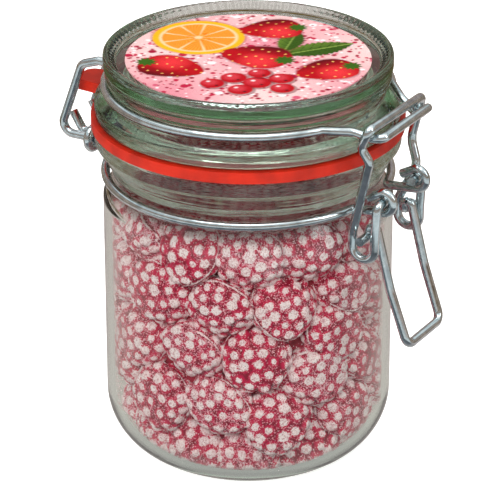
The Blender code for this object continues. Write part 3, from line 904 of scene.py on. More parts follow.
@dataclass
class Wirework:
    """The four bent wires that hinge the lid and clasp it. Millimetres."""

    plated: bpy.types.Material
    sheared: bpy.types.Material
    wire: float = 2.6
    lid_ring: float = 39.9
    lid_z: float = 111.4
    neck_ring: float = 40.2
    neck_z: float = 85.6
    hinge_y: float = 8.0
    hinge_z: float = 87.3
    eye_x: float = -47.0
    eye: float = 2.95
    foot_x: float = -58.6
    head_x: float = -50.4
    head_z: float = 109.3
    nose_x: float = 50.0
    nose_y: float = 13.2
    nose_z: float = 110.0
    latch_y: float = 16.4
    link_x: float = 44.45
    link_y: float = 13.0
    link_half: float = 3.45
    link_low_z: float = 73.0
    ear_x: float = 48.4
    ear_y: float = 9.5
    ear_z: float = 89.5
    ear: float = 3.0
    pin_x: float = 44.5
    pin_z: float = 79.0
    pin_end_y: float = 15.4
    arm_y: float = 9.9
    handle_x: float = 57.0
    handle_z: float = 48.3
    sides: int = 5                      # bevel resolution: fourteen flats round a wire

    def draw(self, name: str, route: list[Point]) -> bpy.types.Object:
        """Draws a round wire along a route with sheared ends.

        Args:
            name: name of the piece.
            route: the corners of the route, each with its bend radius.

        Returns:
            The wire as a mesh object.
        """
        points = bent([tuple(v * MM for v in p) for p in route])
        curve = bpy.data.curves.new(name, "CURVE")
        curve.dimensions = "3D"
        curve.bevel_depth = 0.5 * self.wire * MM
        curve.bevel_resolution = self.sides
        curve.use_fill_caps = True
        spline = curve.splines.new("POLY")
        spline.points.add(len(points) - 1)
        for knot, place in zip(spline.points, points):
            knot.co = (*place, 1.0)
        choose(place_object(name, curve))
        bpy.ops.object.convert(target="MESH")
        thing = bpy.context.view_layer.objects.active
        open_mesh(thing)
        bpy.ops.mesh.remove_doubles(threshold=1e-6)
        bpy.ops.object.mode_set(mode="OBJECT")
        face_outwards(thing)
        thing.data.materials.clear()
        thing.data.materials.append(self.plated)
        thing.data.materials.append(self.sheared)
        for face in thing.data.polygons:
            face.material_index = 1 if len(face.vertices) > 4 else 0
        smooth(thing, 40.0)
        return thing

    def join_solid(self, whole: bpy.types.Object, parts: list[bpy.types.Object]) -> None:
        """Welds other wires to one as a single solid.

        Args:
            whole: the wire that stays.
            parts: the wires that it takes in.
        """
        for part in parts:
            weld = whole.modifiers.new("weld", "BOOLEAN")
            weld.operation = "UNION"
            weld.solver = "EXACT"
            weld.object = part
            choose(whole)
            bpy.ops.object.modifier_apply(modifier=weld.name)
            bpy.data.objects.remove(part, do_unlink=True)
        smooth(whole, 40.0)

    def hinge_leg(self) -> list[Point]:
        """One hinge leg, from the hook in its eye up to the ring round the lid.

        Returns:
            Its corners, each with its bend radius.
        """
        corner = math.sqrt(self.lid_ring ** 2 - self.hinge_y ** 2)
        y = -self.hinge_y
        return [(self.eye_x + 3.4, y, self.hinge_z), (self.foot_x, y, self.hinge_z - 0.4, 3.2),
                (self.head_x, y, self.head_z, 3.0), (-corner - 5.5, y, self.lid_z, 2.0),
                (-corner, y, self.lid_z, 2.0)]

    def nose_side(self, dip: float) -> list[Point]:
        """One side of the nose, which dips by so much under the latch's bar.

        Args:
            dip: millimetres that it dips.

        Returns:
            Its corners, each with its bend radius.
        """
        return [(self.nose_x - 9.0, -self.nose_y - 0.6, self.nose_z + 0.2, 4.0),
                (self.nose_x - 3.4, -self.nose_y, self.nose_z - dip, 1.6),
                (self.nose_x, -self.nose_y, self.nose_z, 1.6)]

    def lid_wire(self) -> bpy.types.Object:
        """The wire round the lid, with its hinge legs and its nose.

        Returns:
            The finished piece.
        """
        leave = 180.0 + math.degrees(math.asin(self.hinge_y / self.lid_ring)) + 8.0
        near = ring_arc(self.lid_ring, self.lid_z, leave, 330.0, 60)
        route = [*self.hinge_leg(), *near, *self.nose_side(0.8),
                 *opposite([*self.hinge_leg(), *near, *self.nose_side(3.3)])]
        thing = self.draw("lid_wire_bent", route)
        put_on(thing, Body.JAR, "lid_wire_steel", "lid_wire")
        return thing

    def hinge_eye(self) -> list[Point]:
        """One eye of the neck wire, curled round a hinge hook.

        Returns:
            Its corners, each with its bend radius.
        """
        curl = [(self.eye_x, -self.hinge_y + across, self.hinge_z - up)
                for across, up in arc((0.0, 0.0), self.eye, 0.0, 300.0, 25)]
        return [(-self.neck_ring + 1.0, -self.hinge_y + self.eye, self.neck_z),
                (self.eye_x + 2.6, -self.hinge_y + self.eye, self.hinge_z, 1.5), *curl]

    def hinge_tail(self) -> list[Point]:
        """The neck wire's short end that stands up beside a hinge leg.

        Returns:
            Its corners, each with its bend radius.
        """
        y = -self.hinge_y + 3.2
        return [(self.eye_x - 0.2, y - 0.2, self.hinge_z + 0.5),
                (self.eye_x - 5.6, y, self.hinge_z - 0.1, 1.8),
                (self.eye_x - 9.0, y, self.hinge_z + 5.4)]

    def ear_end(self) -> list[Point]:
        """One end of the neck wire, curled into an ear.

        Returns:
            Its corners, each with its bend radius.
        """
        curl = [(self.ear_x + out, -self.ear_y, self.ear_z + up)
                for up, out in arc((0.0, 0.0), self.ear, 0.0, 180.0, 15)]
        return [(self.ear_x - 4.5, -self.ear_y, self.ear_z + 0.5), *curl,
                (math.sqrt(self.neck_ring ** 2 - self.ear_y ** 2), -self.ear_y, self.neck_z, 2.0)]

    def neck_wire(self) -> bpy.types.Object:
        """The wire round the neck, with its ears, eyes and tails.

        Returns:
            The finished piece.
        """
        leave = math.degrees(math.asin(self.ear_y / self.neck_ring)) + 6.0
        back = ring_arc(self.neck_ring, self.neck_z, -leave, -360.0 + leave, 120)
        thing = self.draw("neck_wire_bent", [*self.ear_end(), *back, *opposite(self.ear_end())])
        ends = [route for end in (self.hinge_eye(), self.hinge_tail())
                for route in (end, opposite(end))]
        self.join_solid(thing, [self.draw(f"eye_{i}", route) for i, route in enumerate(ends)])
        put_on(thing, Body.JAR, "neck_wire_steel", "neck_wire")
        return thing

    def latch_loop(self) -> list[Point]:
        """One lower loop of the latch, from its end in the ear to the foot of the leg.

        Returns:
            Its corners, each with its bend radius.
        """
        inner, outer = self.link_x - self.link_half, self.link_x + self.link_half
        bend = 0.98 * self.link_half
        y, low = -self.link_y, self.link_low_z
        return [(self.ear_x, -self.ear_y + 2.8, self.ear_z), (self.ear_x, y, self.ear_z, 1.8),
                (outer, y, low + 2 * self.link_half), (outer, y, low, bend),
                (inner, y, low, bend), (inner, y, self.pin_z + 1.5, 6.0)]

    def latch_leg(self, side: Side) -> list[Point]:
        """One waved leg up to the top bar; the far wave and end of the bar are lower.

        Args:
            side: which of the two legs.

        Returns:
            Its corners, each with its bend radius.
        """
        link, bar = -self.link_y, -self.latch_y
        if side is Side.NEAR:
            return [(47.0, link - 2.2, 103.2, 3.0), (44.6, bar + 0.4, 107.2, 3.0),
                    (47.2, bar, 112.8, 1.8)]
        return [(46.3, link - 1.0, 91.5, 5.0), (43.2, link - 2.8, 98.2, 6.0),
                (46.0, bar, 111.2, 1.8)]

    def latch(self) -> bpy.types.Object:
        """The latch over the nose.

        Returns:
            The finished piece.
        """
        route = [*self.latch_loop(), *self.latch_leg(Side.NEAR),
                 *opposite([*self.latch_loop(), *self.latch_leg(Side.FAR)])]
        thing = self.draw("latch_bent", route)
        put_on(thing, Body.JAR, "latch_steel", "latch")
        return thing

    def handle(self) -> bpy.types.Object:
        """The handle, whose hooked ends turn in the latch's loops.

        Returns:
            The finished piece.
        """
        hook_x, hook_z = self.pin_x + 2.3, self.pin_z + 2.7
        y = -self.arm_y
        side = [(self.pin_x, -self.pin_end_y, self.pin_z), (self.pin_x, y, self.pin_z, 1.4),
                (self.pin_x, y, hook_z, 1.3), (hook_x, y, hook_z, 1.3),
                (self.pin_x + 6.8, y, self.pin_z - 14.7, 30.0),
                (self.handle_x, y + 0.2, self.handle_z, 2.8)]
        thing = self.draw("handle_bent", side + opposite(side))
        put_on(thing, Body.HANDLE, "handle_steel", "handle")
        return thing

    def build(self) -> None:
        """Makes all four wires."""
        self.lid_wire()
        self.neck_wire()
        self.latch()
        self.handle()


# ---------------------------------------------------------------- print in the lid


@dataclass
class Canvas:
    """The points of a print, in the viewer's frame, and the ink that is on them so far."""

    u: np.ndarray                       # millimetres to the viewer's right
    v: np.ndarray                       # millimetres away from the viewer
    ink: np.ndarray                     # linear colours, one row for each point

    def paint(self, hex_colour: str, share: np.ndarray) -> None:
        """Paints a share of one colour over the ink so far."""
        tone = np.array(linear(hex_colour)[:3])
        self.ink = self.ink + (tone - self.ink) * np.asarray(share, float)[:, None]

    def disc(self, x: float, y: float, size: float, blur: float = 0.3) -> np.ndarray:
        """How far each point is inside a disc, from 0 to 1."""
        return soft(size - np.hypot(self.u - x, self.v - y), blur)

    def motif(self, x: float, y: float, size: float,
              turned: float) -> tuple[np.ndarray, np.ndarray]:
        """Each point's place along and across a turned motif, in shares of its size."""
        p, q = along(self.u - x, self.v - y, turned)
        return p / size, q / size


def along(x: np.ndarray, y: np.ndarray, turned: float) -> tuple[np.ndarray, np.ndarray]:
    """Positions in a frame that is turned by so many degrees."""
    a = math.radians(turned)
    return x * math.cos(a) + y * math.sin(a), -x * math.sin(a) + y * math.cos(a)


def soft(inside: np.ndarray, blur: float) -> np.ndarray:
    """A soft edge: 0 outside, 1 inside, over so many millimetres."""
    return np.clip(0.5 + inside / blur, 0.0, 1.0)


@dataclass
class LidPrint:
    """The round print in the lid's recess: berries, a citrus slice and leaves on pink froth.

    Motifs are placed by their centre in the viewer's frame and their half length, both in
    millimetres, and leaves and large berries by the degrees that they are turned too.
    """

    radius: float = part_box("label")[1][0] / MM
    low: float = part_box("label")[0][2] / MM
    high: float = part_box("label")[1][2] / MM
    cells: int = 190
    facing: float = 31.0                # degrees that the print is turned towards the viewer
    bubbles: int = 1300
    seed: int = 5
    wheel: Point = (-14.0, 15.5, 13.0)
    leaves: tuple[Point, ...] = ((19.5, 6.5, 11.0, 24.0), (12.0, 12.5, 8.5, 75.0))
    berries: tuple[Point, ...] = (
        (6.5, 22.0, 9.0, 190.0), (-21.0, -7.0, 9.5, -28.0), (2.0, 1.0, 10.0, 160.0),
        (21.5, -9.5, 9.0, 205.0))
    sprig: tuple[Point, ...] = (
        (-4, -15, 3.6), (2.4, -18.5, 3.9), (9, -15.5, 3.5), (-9.8, -19, 3.3), (3.0, -11.6, 3.2),
        (-2.2, -23.5, 3.4), (9.2, -22.6, 3.3))

    def froth(self, canvas: Canvas) -> None:
        """Paints pink froth with small dark and white bubbles.

        Args:
            canvas: the print so far.
        """
        draw = np.random.default_rng(self.seed)
        wash = 0.5 + 0.5 * np.sin(canvas.u * 0.11 + 1.0) * np.cos(canvas.v * 0.09 - 0.6)
        canvas.paint("#E8849A", wash * 0.8)
        tones = ["#C8224A", "#A8143A", "#E0607E", "#FFFFFF"]
        for _ in range(self.bubbles):
            x, y = draw.uniform(-self.radius, self.radius, 2)
            size = draw.choice([0.35, 0.5, 0.75, 1.2], p=[0.5, 0.34, 0.13, 0.03])
            tone = str(draw.choice(tones, p=[0.32, 0.22, 0.12, 0.34]))
            canvas.paint(tone, canvas.disc(x, y, size))

    def citrus(self, canvas: Canvas, x: float, y: float, size: float) -> None:
        """Paints a whole round slice of citrus with its rind, pith and segments.

        Args:
            canvas: the print so far.
            x: centre, to the right.
            y: centre, away.
            size: its radius.
        """
        reach = np.hypot(canvas.u - x, canvas.v - y)
        around = np.arctan2(canvas.v - y, canvas.u - x)
        canvas.paint("#B05A10", soft(size + 0.5 - reach, 0.8) * 0.6)
        canvas.paint("#FCC420", soft(size - reach, 0.3))
        canvas.paint("#F6DFA8", soft(0.86 * size - reach, 0.3))
        wedge = np.abs(((around / math.tau * 9.0) % 1.0) - 0.5)
        flesh = (soft((0.44 - wedge) * reach * 0.7, 0.25) * soft(0.79 * size - reach, 0.3)
                 * soft(reach - 1.2, 0.4))
        canvas.paint("#F48A1A", flesh)
        fibres = 0.5 + 0.5 * np.sin(around * 60.0 + reach * 1.5)
        canvas.paint("#FFCE54", flesh * fibres * 0.55)

    def leaf(self, canvas: Canvas, x: float, y: float, size: float, turned: float) -> None:
        """Paints one toothed leaf with its veins.

        Args:
            canvas: the print so far.
            x: centre, to the right.
            y: centre, away.
            size: half its length.
            turned: how far it is turned, in degrees.
        """
        p, q = canvas.motif(x, y, size, turned)
        width = 0.42 * (1 - p ** 2) * (1 + 0.08 * np.sin(p * 40.0))
        inside = soft((width - np.abs(q)) * size, 0.3)
        canvas.paint("#B03050", soft((width - np.abs(q)) * size + 0.6, 0.8) * 0.3)
        canvas.paint("#3C5E18", inside)
        canvas.paint("#64862C", inside * np.clip(q * 2.4 + 0.2, 0, 1))
        veins = np.abs(np.sin((p - np.abs(q) * 0.9) * 12.0)) < 0.16
        canvas.paint("#223E10", inside * veins * 0.6)
        canvas.paint("#86A448", inside * (np.abs(q) < 0.03))

    def berry(self, canvas: Canvas, x: float, y: float, size: float, turned: float) -> None:
        """Paints one strawberry with its seeds and its crown of leaflets.

        Args:
            canvas: the print so far.
            x: centre, to the right.
            y: centre, away.
            size: half its length.
            turned: how far it is turned, in degrees.
        """
        p, q = canvas.motif(x, y, size, turned)
        width = 0.78 * np.sqrt(np.clip(1 - p ** 2, 0, 1)) * (1 - 0.32 * p) - (np.abs(p) > 1)
        inside = soft((width - np.abs(q)) * size, 0.35)
        canvas.paint("#7E0A1E", soft((width - np.abs(q)) * size + 0.7, 0.9) * 0.45)
        canvas.paint("#BE0818", inside)
        lit = np.clip(1 - ((p + 0.2) ** 2 + (q - 0.3) ** 2) * 2.2, 0, 1)
        canvas.paint("#EE3A40", inside * lit)
        canvas.paint("#5E0614", inside * np.clip(-q * 1.6 - 0.25, 0, 1))
        seeds = np.cos(p * 13.0) * np.cos(q * 11.0 + 1.57 * (np.round(p * 13.0 / math.pi) % 2))
        canvas.paint("#F2C46A", inside * (seeds > 0.9))
        crown = np.zeros_like(p)
        for step in range(5):
            lx, ly = along(p + 0.86, q, -70 + 35 * step)
            leaflet = 0.1 * (1 - (np.abs(lx) / 0.34) ** 2) - np.abs(ly)
            crown = np.maximum(crown, soft(leaflet * size, 0.25))
        canvas.paint("#3E6A1A", crown)

    def currant(self, canvas: Canvas, x: float, y: float, size: float) -> None:
        """Paints one small round red berry.

        Args:
            canvas: the print so far.
            x: centre, to the right.
            y: centre, away.
            size: its radius.
        """
        canvas.paint("#6E0818", canvas.disc(x + 0.4, y - 0.6, size + 0.5) * 0.6)
        canvas.paint("#C00A1C", canvas.disc(x, y, size))
        canvas.paint("#DC4450", canvas.disc(x - 0.7, y + 0.8, size * 0.62, 1.6) * 0.8)
        canvas.paint("#FFF0F0", canvas.disc(x - 1.1, y + 1.4, size * 0.16))
        canvas.paint("#5A1018", canvas.disc(x + 1.2, y - 1.5, 0.45))

    def inks(self, x: np.ndarray, y: np.ndarray) -> np.ndarray:
        """The print's colours.

        Args:
            x: positions along X, in millimetres.
            y: positions along Y, in millimetres.

        Returns:
            Linear colours with alpha, one row for each position.
        """
        card = np.tile(np.array(linear("#FBE0DC")[:3]), (len(x), 1))
        canvas = Canvas(*along(x, y, self.facing), card)
        self.froth(canvas)
        self.citrus(canvas, *self.wheel)
        for paint, places in ((self.leaf, self.leaves), (self.berry, self.berries),
                              (self.currant, self.sprig)):
            for place in places:
                paint(canvas, *place)
        return np.concatenate([canvas.ink, np.ones((len(x), 1))], axis=1)

    def build(self, card: bpy.types.Material) -> bpy.types.Object:
        """Cuts the round card, gives it its thickness and prints it.

        Args:
            card: the print's finish.

        Returns:
            The finished piece.
        """
        bpy.ops.object.select_all(action="DESELECT")
        bpy.ops.mesh.primitive_grid_add(x_subdivisions=self.cells, y_subdivisions=self.cells)
        label = bpy.context.view_layer.objects.active
        label.name = label.data.name = "lid_print"
        for vertex in label.data.vertices:
            x, y = vertex.co.x, vertex.co.y
            vertex.co = (x * math.sqrt(1 - 0.5 * y * y) * self.radius * MM,
                         y * math.sqrt(1 - 0.5 * x * x) * self.radius * MM, self.high * MM)
        open_mesh(label)
        bpy.ops.mesh.extrude_region_move(
            TRANSFORM_OT_translate={"value": (0, 0, (self.low - self.high) * MM)})
        bpy.ops.object.mode_set(mode="OBJECT")
        face_outwards(label)
        places = points_of(label.data)
        ink = self.inks(places[:, 0] / MM, places[:, 1] / MM)
        # the underside is painted pale pink, lighter than card in shade, so that it looks lit:
        # painted light, on top of the light that the card really lets through
        ink[places[:, 2] < (self.low + 0.01) * MM, :3] = linear("#F0B8C0")[:3]
        layer = label.data.attributes.new("ink", "FLOAT_COLOR", "POINT")
        layer.data.foreach_set("color", ink.ravel())
        label.data.materials.append(card)
        smooth(label, 30.0)
        put_on(label, Body.JAR, "label_print", "label")
        return label


# ---------------------------------------------------------------- candies


@dataclass
class CandyHeap:
    """The heap of sugared berry candies. Millimetres."""

    breadth: float = 10.0               # half of a candy's breadth
    thickness: float = 7.0              # half of its thickness
    cells: int = 24                     # squares along each side of a candy's six faces
    rows: int = 5
    row_count: int = 12
    inner_count: int = 37
    crown_count: int = 16               # how many of the inner ones start on top
    bore: float = 38.7                  # clear radius inside the glass
    floor_z: float = 2.8
    heel: float = 15.9
    shoulder_z: float = 76.8            # where the wall starts to lean in
    top_z: float = 83.2
    seed: int = 18
    kinds: int = 4
    knob: float = 2.05                  # a knob's radius
    knob_height: float = 1.15
    knob_rings: tuple[tuple[float, int], ...] = ((0.0, 1), (25.0, 6), (49.0, 11), (72.0, 15))
    seam: float = 0.95                  # how far the mould seam stands out
    seam_half: float = 0.95             # half of its width
    lean: float = 0.8                   # how far a candy at the wall may lean, in radians
    inner_lean: float = 1.4             # and one further in
    settle_steps: int = 1200
    squeeze: float = 0.95               # contact distance, as knobs sink between knobs
    weight: float = 0.12                # how far a candy sinks in one step
    pressed: float = 1.7                # how far one is pressed against the glass
    heel_pressed: float = 6.0           # and how far more in the round of the heel
    flattened: float = 2.0              # how far the lowest are pressed on the floor
    per_layer: int = 25                 # candies that are joined in one piece
    dusts: tuple[float, ...] = (-0.1, 0.04, 0.22)       # how much more single grains a candy has
    dust_shares: tuple[float, ...] = (0.35, 0.35, 0.3)
    grains: int = 9000                  # loose grains on the inside of the glass
    grain: float = 0.42

    @property
    def half_sizes(self) -> np.ndarray:
        """Half of a candy's size along each of its own axes."""
        return np.array([self.breadth, self.breadth, self.thickness])

    def knob_places(self, draw: np.random.Generator) -> np.ndarray:
        """Directions of the knobs of one candy, in rings on both halves.

        Args:
            draw: the source of the small irregularities.

        Returns:
            Unit vectors, one row for each knob.
        """
        places = []
        for half in (1.0, -1.0):
            for angle, number in self.knob_rings:
                start = draw.uniform(0, math.tau)
                for index in range(number):
                    a = start + math.tau * (index + draw.uniform(-0.13, 0.13)) / number
                    t = math.radians(angle + draw.uniform(-2.5, 2.5))
                    places.append((math.sin(t) * math.cos(a), math.sin(t) * math.sin(a),
                                   half * math.cos(t)))
        return np.array(places)

    def model_candy(self, kind: int) -> bpy.types.Object:
        """Models one kind of candy at the origin, flat side up.

        Args:
            kind: number of the kind, which seeds its irregularities.

        Returns:
            The candy, with attributes for where sugar packs and where its knobs rise.
        """
        draw = np.random.default_rng(100 + kind)
        bpy.ops.object.select_all(action="DESELECT")
        bpy.ops.mesh.primitive_cube_add(size=2.0)
        candy = bpy.context.view_layer.objects.active
        candy.name = f"candy_kind_{kind}"
        open_mesh(candy)
        bpy.ops.mesh.subdivide(number_cuts=self.cells - 1)
        bpy.ops.object.mode_set(mode="OBJECT")
        mesh = candy.data
        flat = np.tan(points_of(mesh) * math.pi / 4)     # even squares once on the ball
        ways = flat / np.linalg.norm(flat, axis=1, keepdims=True)
        size = self.half_sizes
        lump = 1 + 0.03 * np.sin(ways @ draw.normal(size=(3, 3)) * 2.5).sum(axis=1)
        base = ways * size * lump[:, None]
        centres = self.knob_places(draw)
        near = np.linalg.norm(base[:, None, :] - (centres * size)[None, :, :], axis=2)
        scale = draw.uniform(0.86, 1.12, len(centres))
        reach = near / (self.knob * scale)[None, :]
        dome = np.sqrt(np.clip(1 - reach ** 2, 0, 1)).max(axis=1)
        sugared = reach / draw.uniform(0.75, 1.2, len(centres))[None, :]
        cap = np.clip(1.15 - 0.8 * sugared.min(axis=1), 0, 1)
        rim = np.clip(1 - np.abs(base[:, 2]) / self.seam_half, 0, 1)
        ragged = np.sin(ways @ draw.normal(size=(3, 6)) * 9.0).sum(axis=1) * 0.12
        rim *= np.clip(0.8 + ragged, 0.35, 1.0)
        out = ways / size
        out /= np.linalg.norm(out, axis=1, keepdims=True)
        base += out * (dome * self.knob_height * (1 - rim) + rim * self.seam)[:, None]
        base -= out * (0.75 * self.knob_height)
        mesh.vertices.foreach_set("co", (base * MM).ravel())
        mark(mesh, "cap", np.maximum(cap, rim))
        # the knobs' height, from which the finish paints shade in the grooves and a highlight on
        # the tops
        mark(mesh, "groove", dome)
        mesh.shade_smooth()
        return candy

    def clear_radius(self, z: np.ndarray) -> np.ndarray:
        """Clear radius inside the glass at each height: round heel, straight wall, shoulder.

        Args:
            z: heights, in millimetres.

        Returns:
            The radius at each height, in millimetres.
        """
        drop = np.clip(self.floor_z + self.heel - z, 0, self.heel)
        low = self.bore - self.heel + np.sqrt(self.heel ** 2 - drop ** 2)
        return np.minimum(low, self.bore - np.clip(z - self.shoulder_z, 0, 10.0) * 0.5)

    def strew(self) -> tuple[np.ndarray, np.ndarray, np.ndarray, np.ndarray]:
        """Spreads the candies through the jar, before they settle.

        Returns:
            The centres in millimetres, each candy's axes, its angle round the jar and whether it
            lies at the wall.
        """
        draw = np.random.default_rng(self.seed)
        shown = self.rows * self.row_count
        n = shown + self.inner_count
        outer = np.arange(n) < shown
        row = np.arange(n) // self.row_count
        angle = np.where(outer, math.tau * (np.arange(n) + 0.5 * (row % 2)) / self.row_count,
                         0.0) + draw.uniform(-0.2, 0.2, n)
        angle[~outer] = draw.uniform(0, math.tau, self.inner_count)
        reach = np.where(outer, 30.0, draw.uniform(0, 14.0, n))
        height = self.floor_z + 9.0 + row * (self.top_z - self.floor_z - 18.0) / (self.rows - 1)
        height[~outer] = draw.uniform(self.floor_z + 12.0, self.top_z - 18.0, self.inner_count)
        height[n - self.crown_count:] = self.top_z - 8.0
        reach[n - self.crown_count:] = draw.uniform(0.0, 22.0, self.crown_count)
        centre = np.stack([reach * np.cos(angle), reach * np.sin(angle),
                           height + draw.uniform(-2.5, 2.5, n)], axis=1)
        lean = np.where(outer, self.lean, self.inner_lean)
        axes = np.array([[list(line) for line in (
            Euler((0, 0, angle[i])).to_matrix() @ Euler(
                (draw.uniform(-lean[i], lean[i]),
                 math.radians(90) + draw.uniform(-lean[i], lean[i]),
                 draw.uniform(0, math.tau)), "ZYX").to_matrix())] for i in range(n)])
        return centre, axes, angle, outer

    def push_apart(self, centre: np.ndarray, axes: np.ndarray) -> None:
        """Moves each candy a little out of those that it overlaps.

        Args:
            centre: the candies' centres, which are moved.
            axes: each candy's axes.
        """
        n = len(centre)
        shape = axes @ np.diag(1 / self.half_sizes ** 2) @ axes.transpose(0, 2, 1)
        gap = centre[:, None, :] - centre[None, :, :]
        far = np.linalg.norm(gap, axis=2) + np.eye(n) * 1e3
        way = gap / far[:, :, None]
        mine = 1 / np.sqrt(np.einsum("ijk,ikl,ijl->ij", way, shape, way) + np.eye(n))
        push = np.clip(self.squeeze * (mine + mine.T) - far, 0, None) * 0.25
        centre += (way * push[:, :, None]).sum(axis=1)

    def keep_inside(self, centre: np.ndarray, axes: np.ndarray, outer: np.ndarray) -> None:
        """Keeps each candy off glass and floor, and moves the outer ones up to the wall.

        Args:
            centre: the candies' centres, which are moved.
            axes: each candy's axes.
            outer: whether each lies at the wall.
        """
        spread = axes @ np.diag(self.half_sizes ** 2) @ axes.transpose(0, 2, 1)
        level = np.hypot(centre[:, 0], centre[:, 1]) + 1e-6
        outward = np.stack([centre[:, 0] / level, centre[:, 1] / level, np.zeros(len(centre))],
                           axis=1)
        side = np.sqrt(np.einsum("ij,ijk,ik->i", outward, spread, outward))
        tall = np.sqrt(spread[:, 2, 2])
        centre[:, 2] = np.clip(centre[:, 2], self.floor_z + tall - self.flattened,
                               self.top_z - tall)
        lowest = np.minimum(self.clear_radius(centre[:, 2] - 0.5 * tall),
                            self.clear_radius(centre[:, 2] + 0.5 * tall))
        deep = np.clip((self.floor_z + self.heel - centre[:, 2]) / self.heel, 0, 1)
        limit = np.maximum(lowest - side + self.pressed + self.heel_pressed * deep, 1.0)
        kept = np.where(outer, np.minimum(level + 0.3, limit), np.minimum(level, limit))
        centre[:, :2] *= (kept / level)[:, None]

    def settle(self) -> tuple[np.ndarray, list[Matrix]]:
        """Settles the candies in the jar.

        Each candy is a flattened ball that keeps its turn. Those by the wall lie flat against it
        and turn with it as they move round.

        Returns:
            The centres in millimetres, and each candy's turn.
        """
        centre, axes, home, outer = self.strew()
        for step in range(self.settle_steps):
            self.push_apart(centre, axes)
            centre[:, 2] -= self.weight * (1.0 - step / self.settle_steps)
            self.keep_inside(centre, axes, outer)
            now = np.arctan2(centre[:, 1], centre[:, 0])
            twist = np.where(outer, now - home, 0.0)
            home = now
            spin = np.zeros((len(centre), 3, 3))
            spin[:, 0, 0] = spin[:, 1, 1] = np.cos(twist)
            spin[:, 1, 0], spin[:, 0, 1] = np.sin(twist), -np.sin(twist)
            spin[:, 2, 2] = 1
            axes = spin @ axes
        return centre, [Matrix(a.tolist()) for a in axes]

    def press(self, mesh: bpy.types.Mesh) -> None:
        """Presses a candy flat where it would pass the glass.

        Args:
            mesh: the candy's mesh, at its place in the jar.
        """
        places = points_of(mesh)
        level = np.hypot(places[:, 0], places[:, 1])
        limit = self.clear_radius(places[:, 2] / MM) * MM
        over = level > limit
        places[over, :2] *= (limit / np.maximum(level, 1e-9))[over, None]
        places[:, 2] = np.maximum(places[:, 2], self.floor_z * MM)
        mesh.vertices.foreach_set("co", places.ravel())
        mesh.update()

    def lay(self, kind: bpy.types.Object, centre: np.ndarray, turned: Matrix,
            draw: np.random.Generator) -> bpy.types.Object:
        """Lays a copy of one kind of candy at its place in the heap.

        Args:
            kind: the candy to copy.
            centre: its centre, in millimetres.
            turned: its turn.
            draw: the source of its size and of its share of single grains.

        Returns:
            The copy, pressed against the glass.
        """
        candy = kind.copy()
        candy.data = candy.data.copy()
        bpy.context.scene.collection.objects.link(candy)
        scale = Matrix.Scale(draw.uniform(0.97, 1.05), 4)
        candy.data.transform(Matrix.Translation(Vector(centre) * MM) @ turned.to_4x4() @ scale)
        self.press(candy.data)
        dust = draw.choice(self.dusts, p=self.dust_shares)
        mark(candy.data, "dust", np.full(len(candy.data.vertices), dust))
        return candy

    def scatter_grains(self, sugar: bpy.types.Material) -> None:
        """Scatters loose sugar on the inside of the glass, each grain a four-sided crystal.

        Args:
            sugar: the grains' finish.
        """
        draw = np.random.default_rng(self.seed + 2)
        n = self.grains
        z = self.floor_z + 0.4 + (self.top_z - self.floor_z - 1.0) * draw.uniform(0, 1, n)
        around = draw.uniform(0, math.tau, n)
        level = self.clear_radius(z) - draw.uniform(0.05, 0.5, n)
        middle = np.stack([level * np.cos(around), level * np.sin(around), z], axis=1)
        corners = np.array([(1, 1, 1), (1, -1, -1), (-1, 1, -1), (-1, -1, 1)]) / math.sqrt(3)
        turned = corners * draw.uniform(0.6, 1.3, (n, 4, 1)) + draw.normal(0, 0.25, (n, 4, 3))
        size = 0.5 * self.grain * draw.uniform(0.6, 1.3, (n, 1, 1))
        places = (middle[:, None, :] + turned * size).reshape(-1, 3) * MM
        sides = np.array([(0, 2, 1), (0, 1, 3), (0, 3, 2), (1, 2, 3)])
        faces = np.arange(n)[:, None, None] * 4 + sides
        mesh = bpy.data.meshes.new("sugar_grains")
        mesh.from_pydata(places.tolist(), [], faces.reshape(-1, 3).tolist())
        grains = place_object("sugar_grains", mesh)
        face_outwards(grains)
        mark(mesh, "cap", np.ones(4 * n))
        mark(mesh, "dust", np.repeat(draw.uniform(-0.4, 0.4, n), 4))
        mark(mesh, "groove", np.ones(4 * n))
        mesh.materials.append(sugar)
        put_on(grains, Body.JAR, "candy_sugar", "candies")

    def build(self, sugar: bpy.types.Material, shade: bpy.types.Material) -> None:
        """Models the kinds, settles the heap and joins it in layers.

        Args:
            sugar: the candies' finish.
            shade: the finish of the heap's middle.
        """
        draw = np.random.default_rng(self.seed + 1)
        kinds = [self.model_candy(kind) for kind in range(self.kinds)]
        centres, turns = self.settle()
        order = np.argsort(centres[:, 2])
        for number, first in enumerate(range(0, len(order), self.per_layer), start=1):
            candies = [self.lay(kinds[int(draw.integers(self.kinds))], centres[index],
                                turns[index], draw)
                       for index in order[first:first + self.per_layer]]
            choose(*candies)
            bpy.ops.object.join()
            heap = bpy.context.view_layer.objects.active
            heap.name = heap.data.name = f"candies_layer_{number}"
            heap.data.materials.clear()
            heap.data.materials.append(sugar)
            put_on(heap, Body.JAR, "candy_sugar", "candies")
        for kind in kinds:
            bpy.data.objects.remove(kind, do_unlink=True)
        self.scatter_grains(sugar)
        self.fill_middle(shade)

    def fill_middle(self, shade: bpy.types.Material) -> None:
        """Turns a plain core behind the candies, so that no gap shows through the heap.

        Args:
            shade: the core's finish.
        """
        outline = profile([(0.0, self.floor_z + 2.0), (20.0, self.floor_z + 2.0, 4.0),
                           (32.0, self.floor_z + 14.0, 9.0), (33.0, self.top_z - 16.0, 6.0),
                           (0.0, self.top_z - 17.0)])
        core = draw_lines("heap_core", [outline], closed=False)
        turn(core, 48)
        # the core's dark crimson is painted shade, for the shaded candies deeper in the heap
        core.data.materials.append(shade)
        put_on(core, Body.JAR, "candy_sugar", "candies")


# ---------------------------------------------------------------- studio


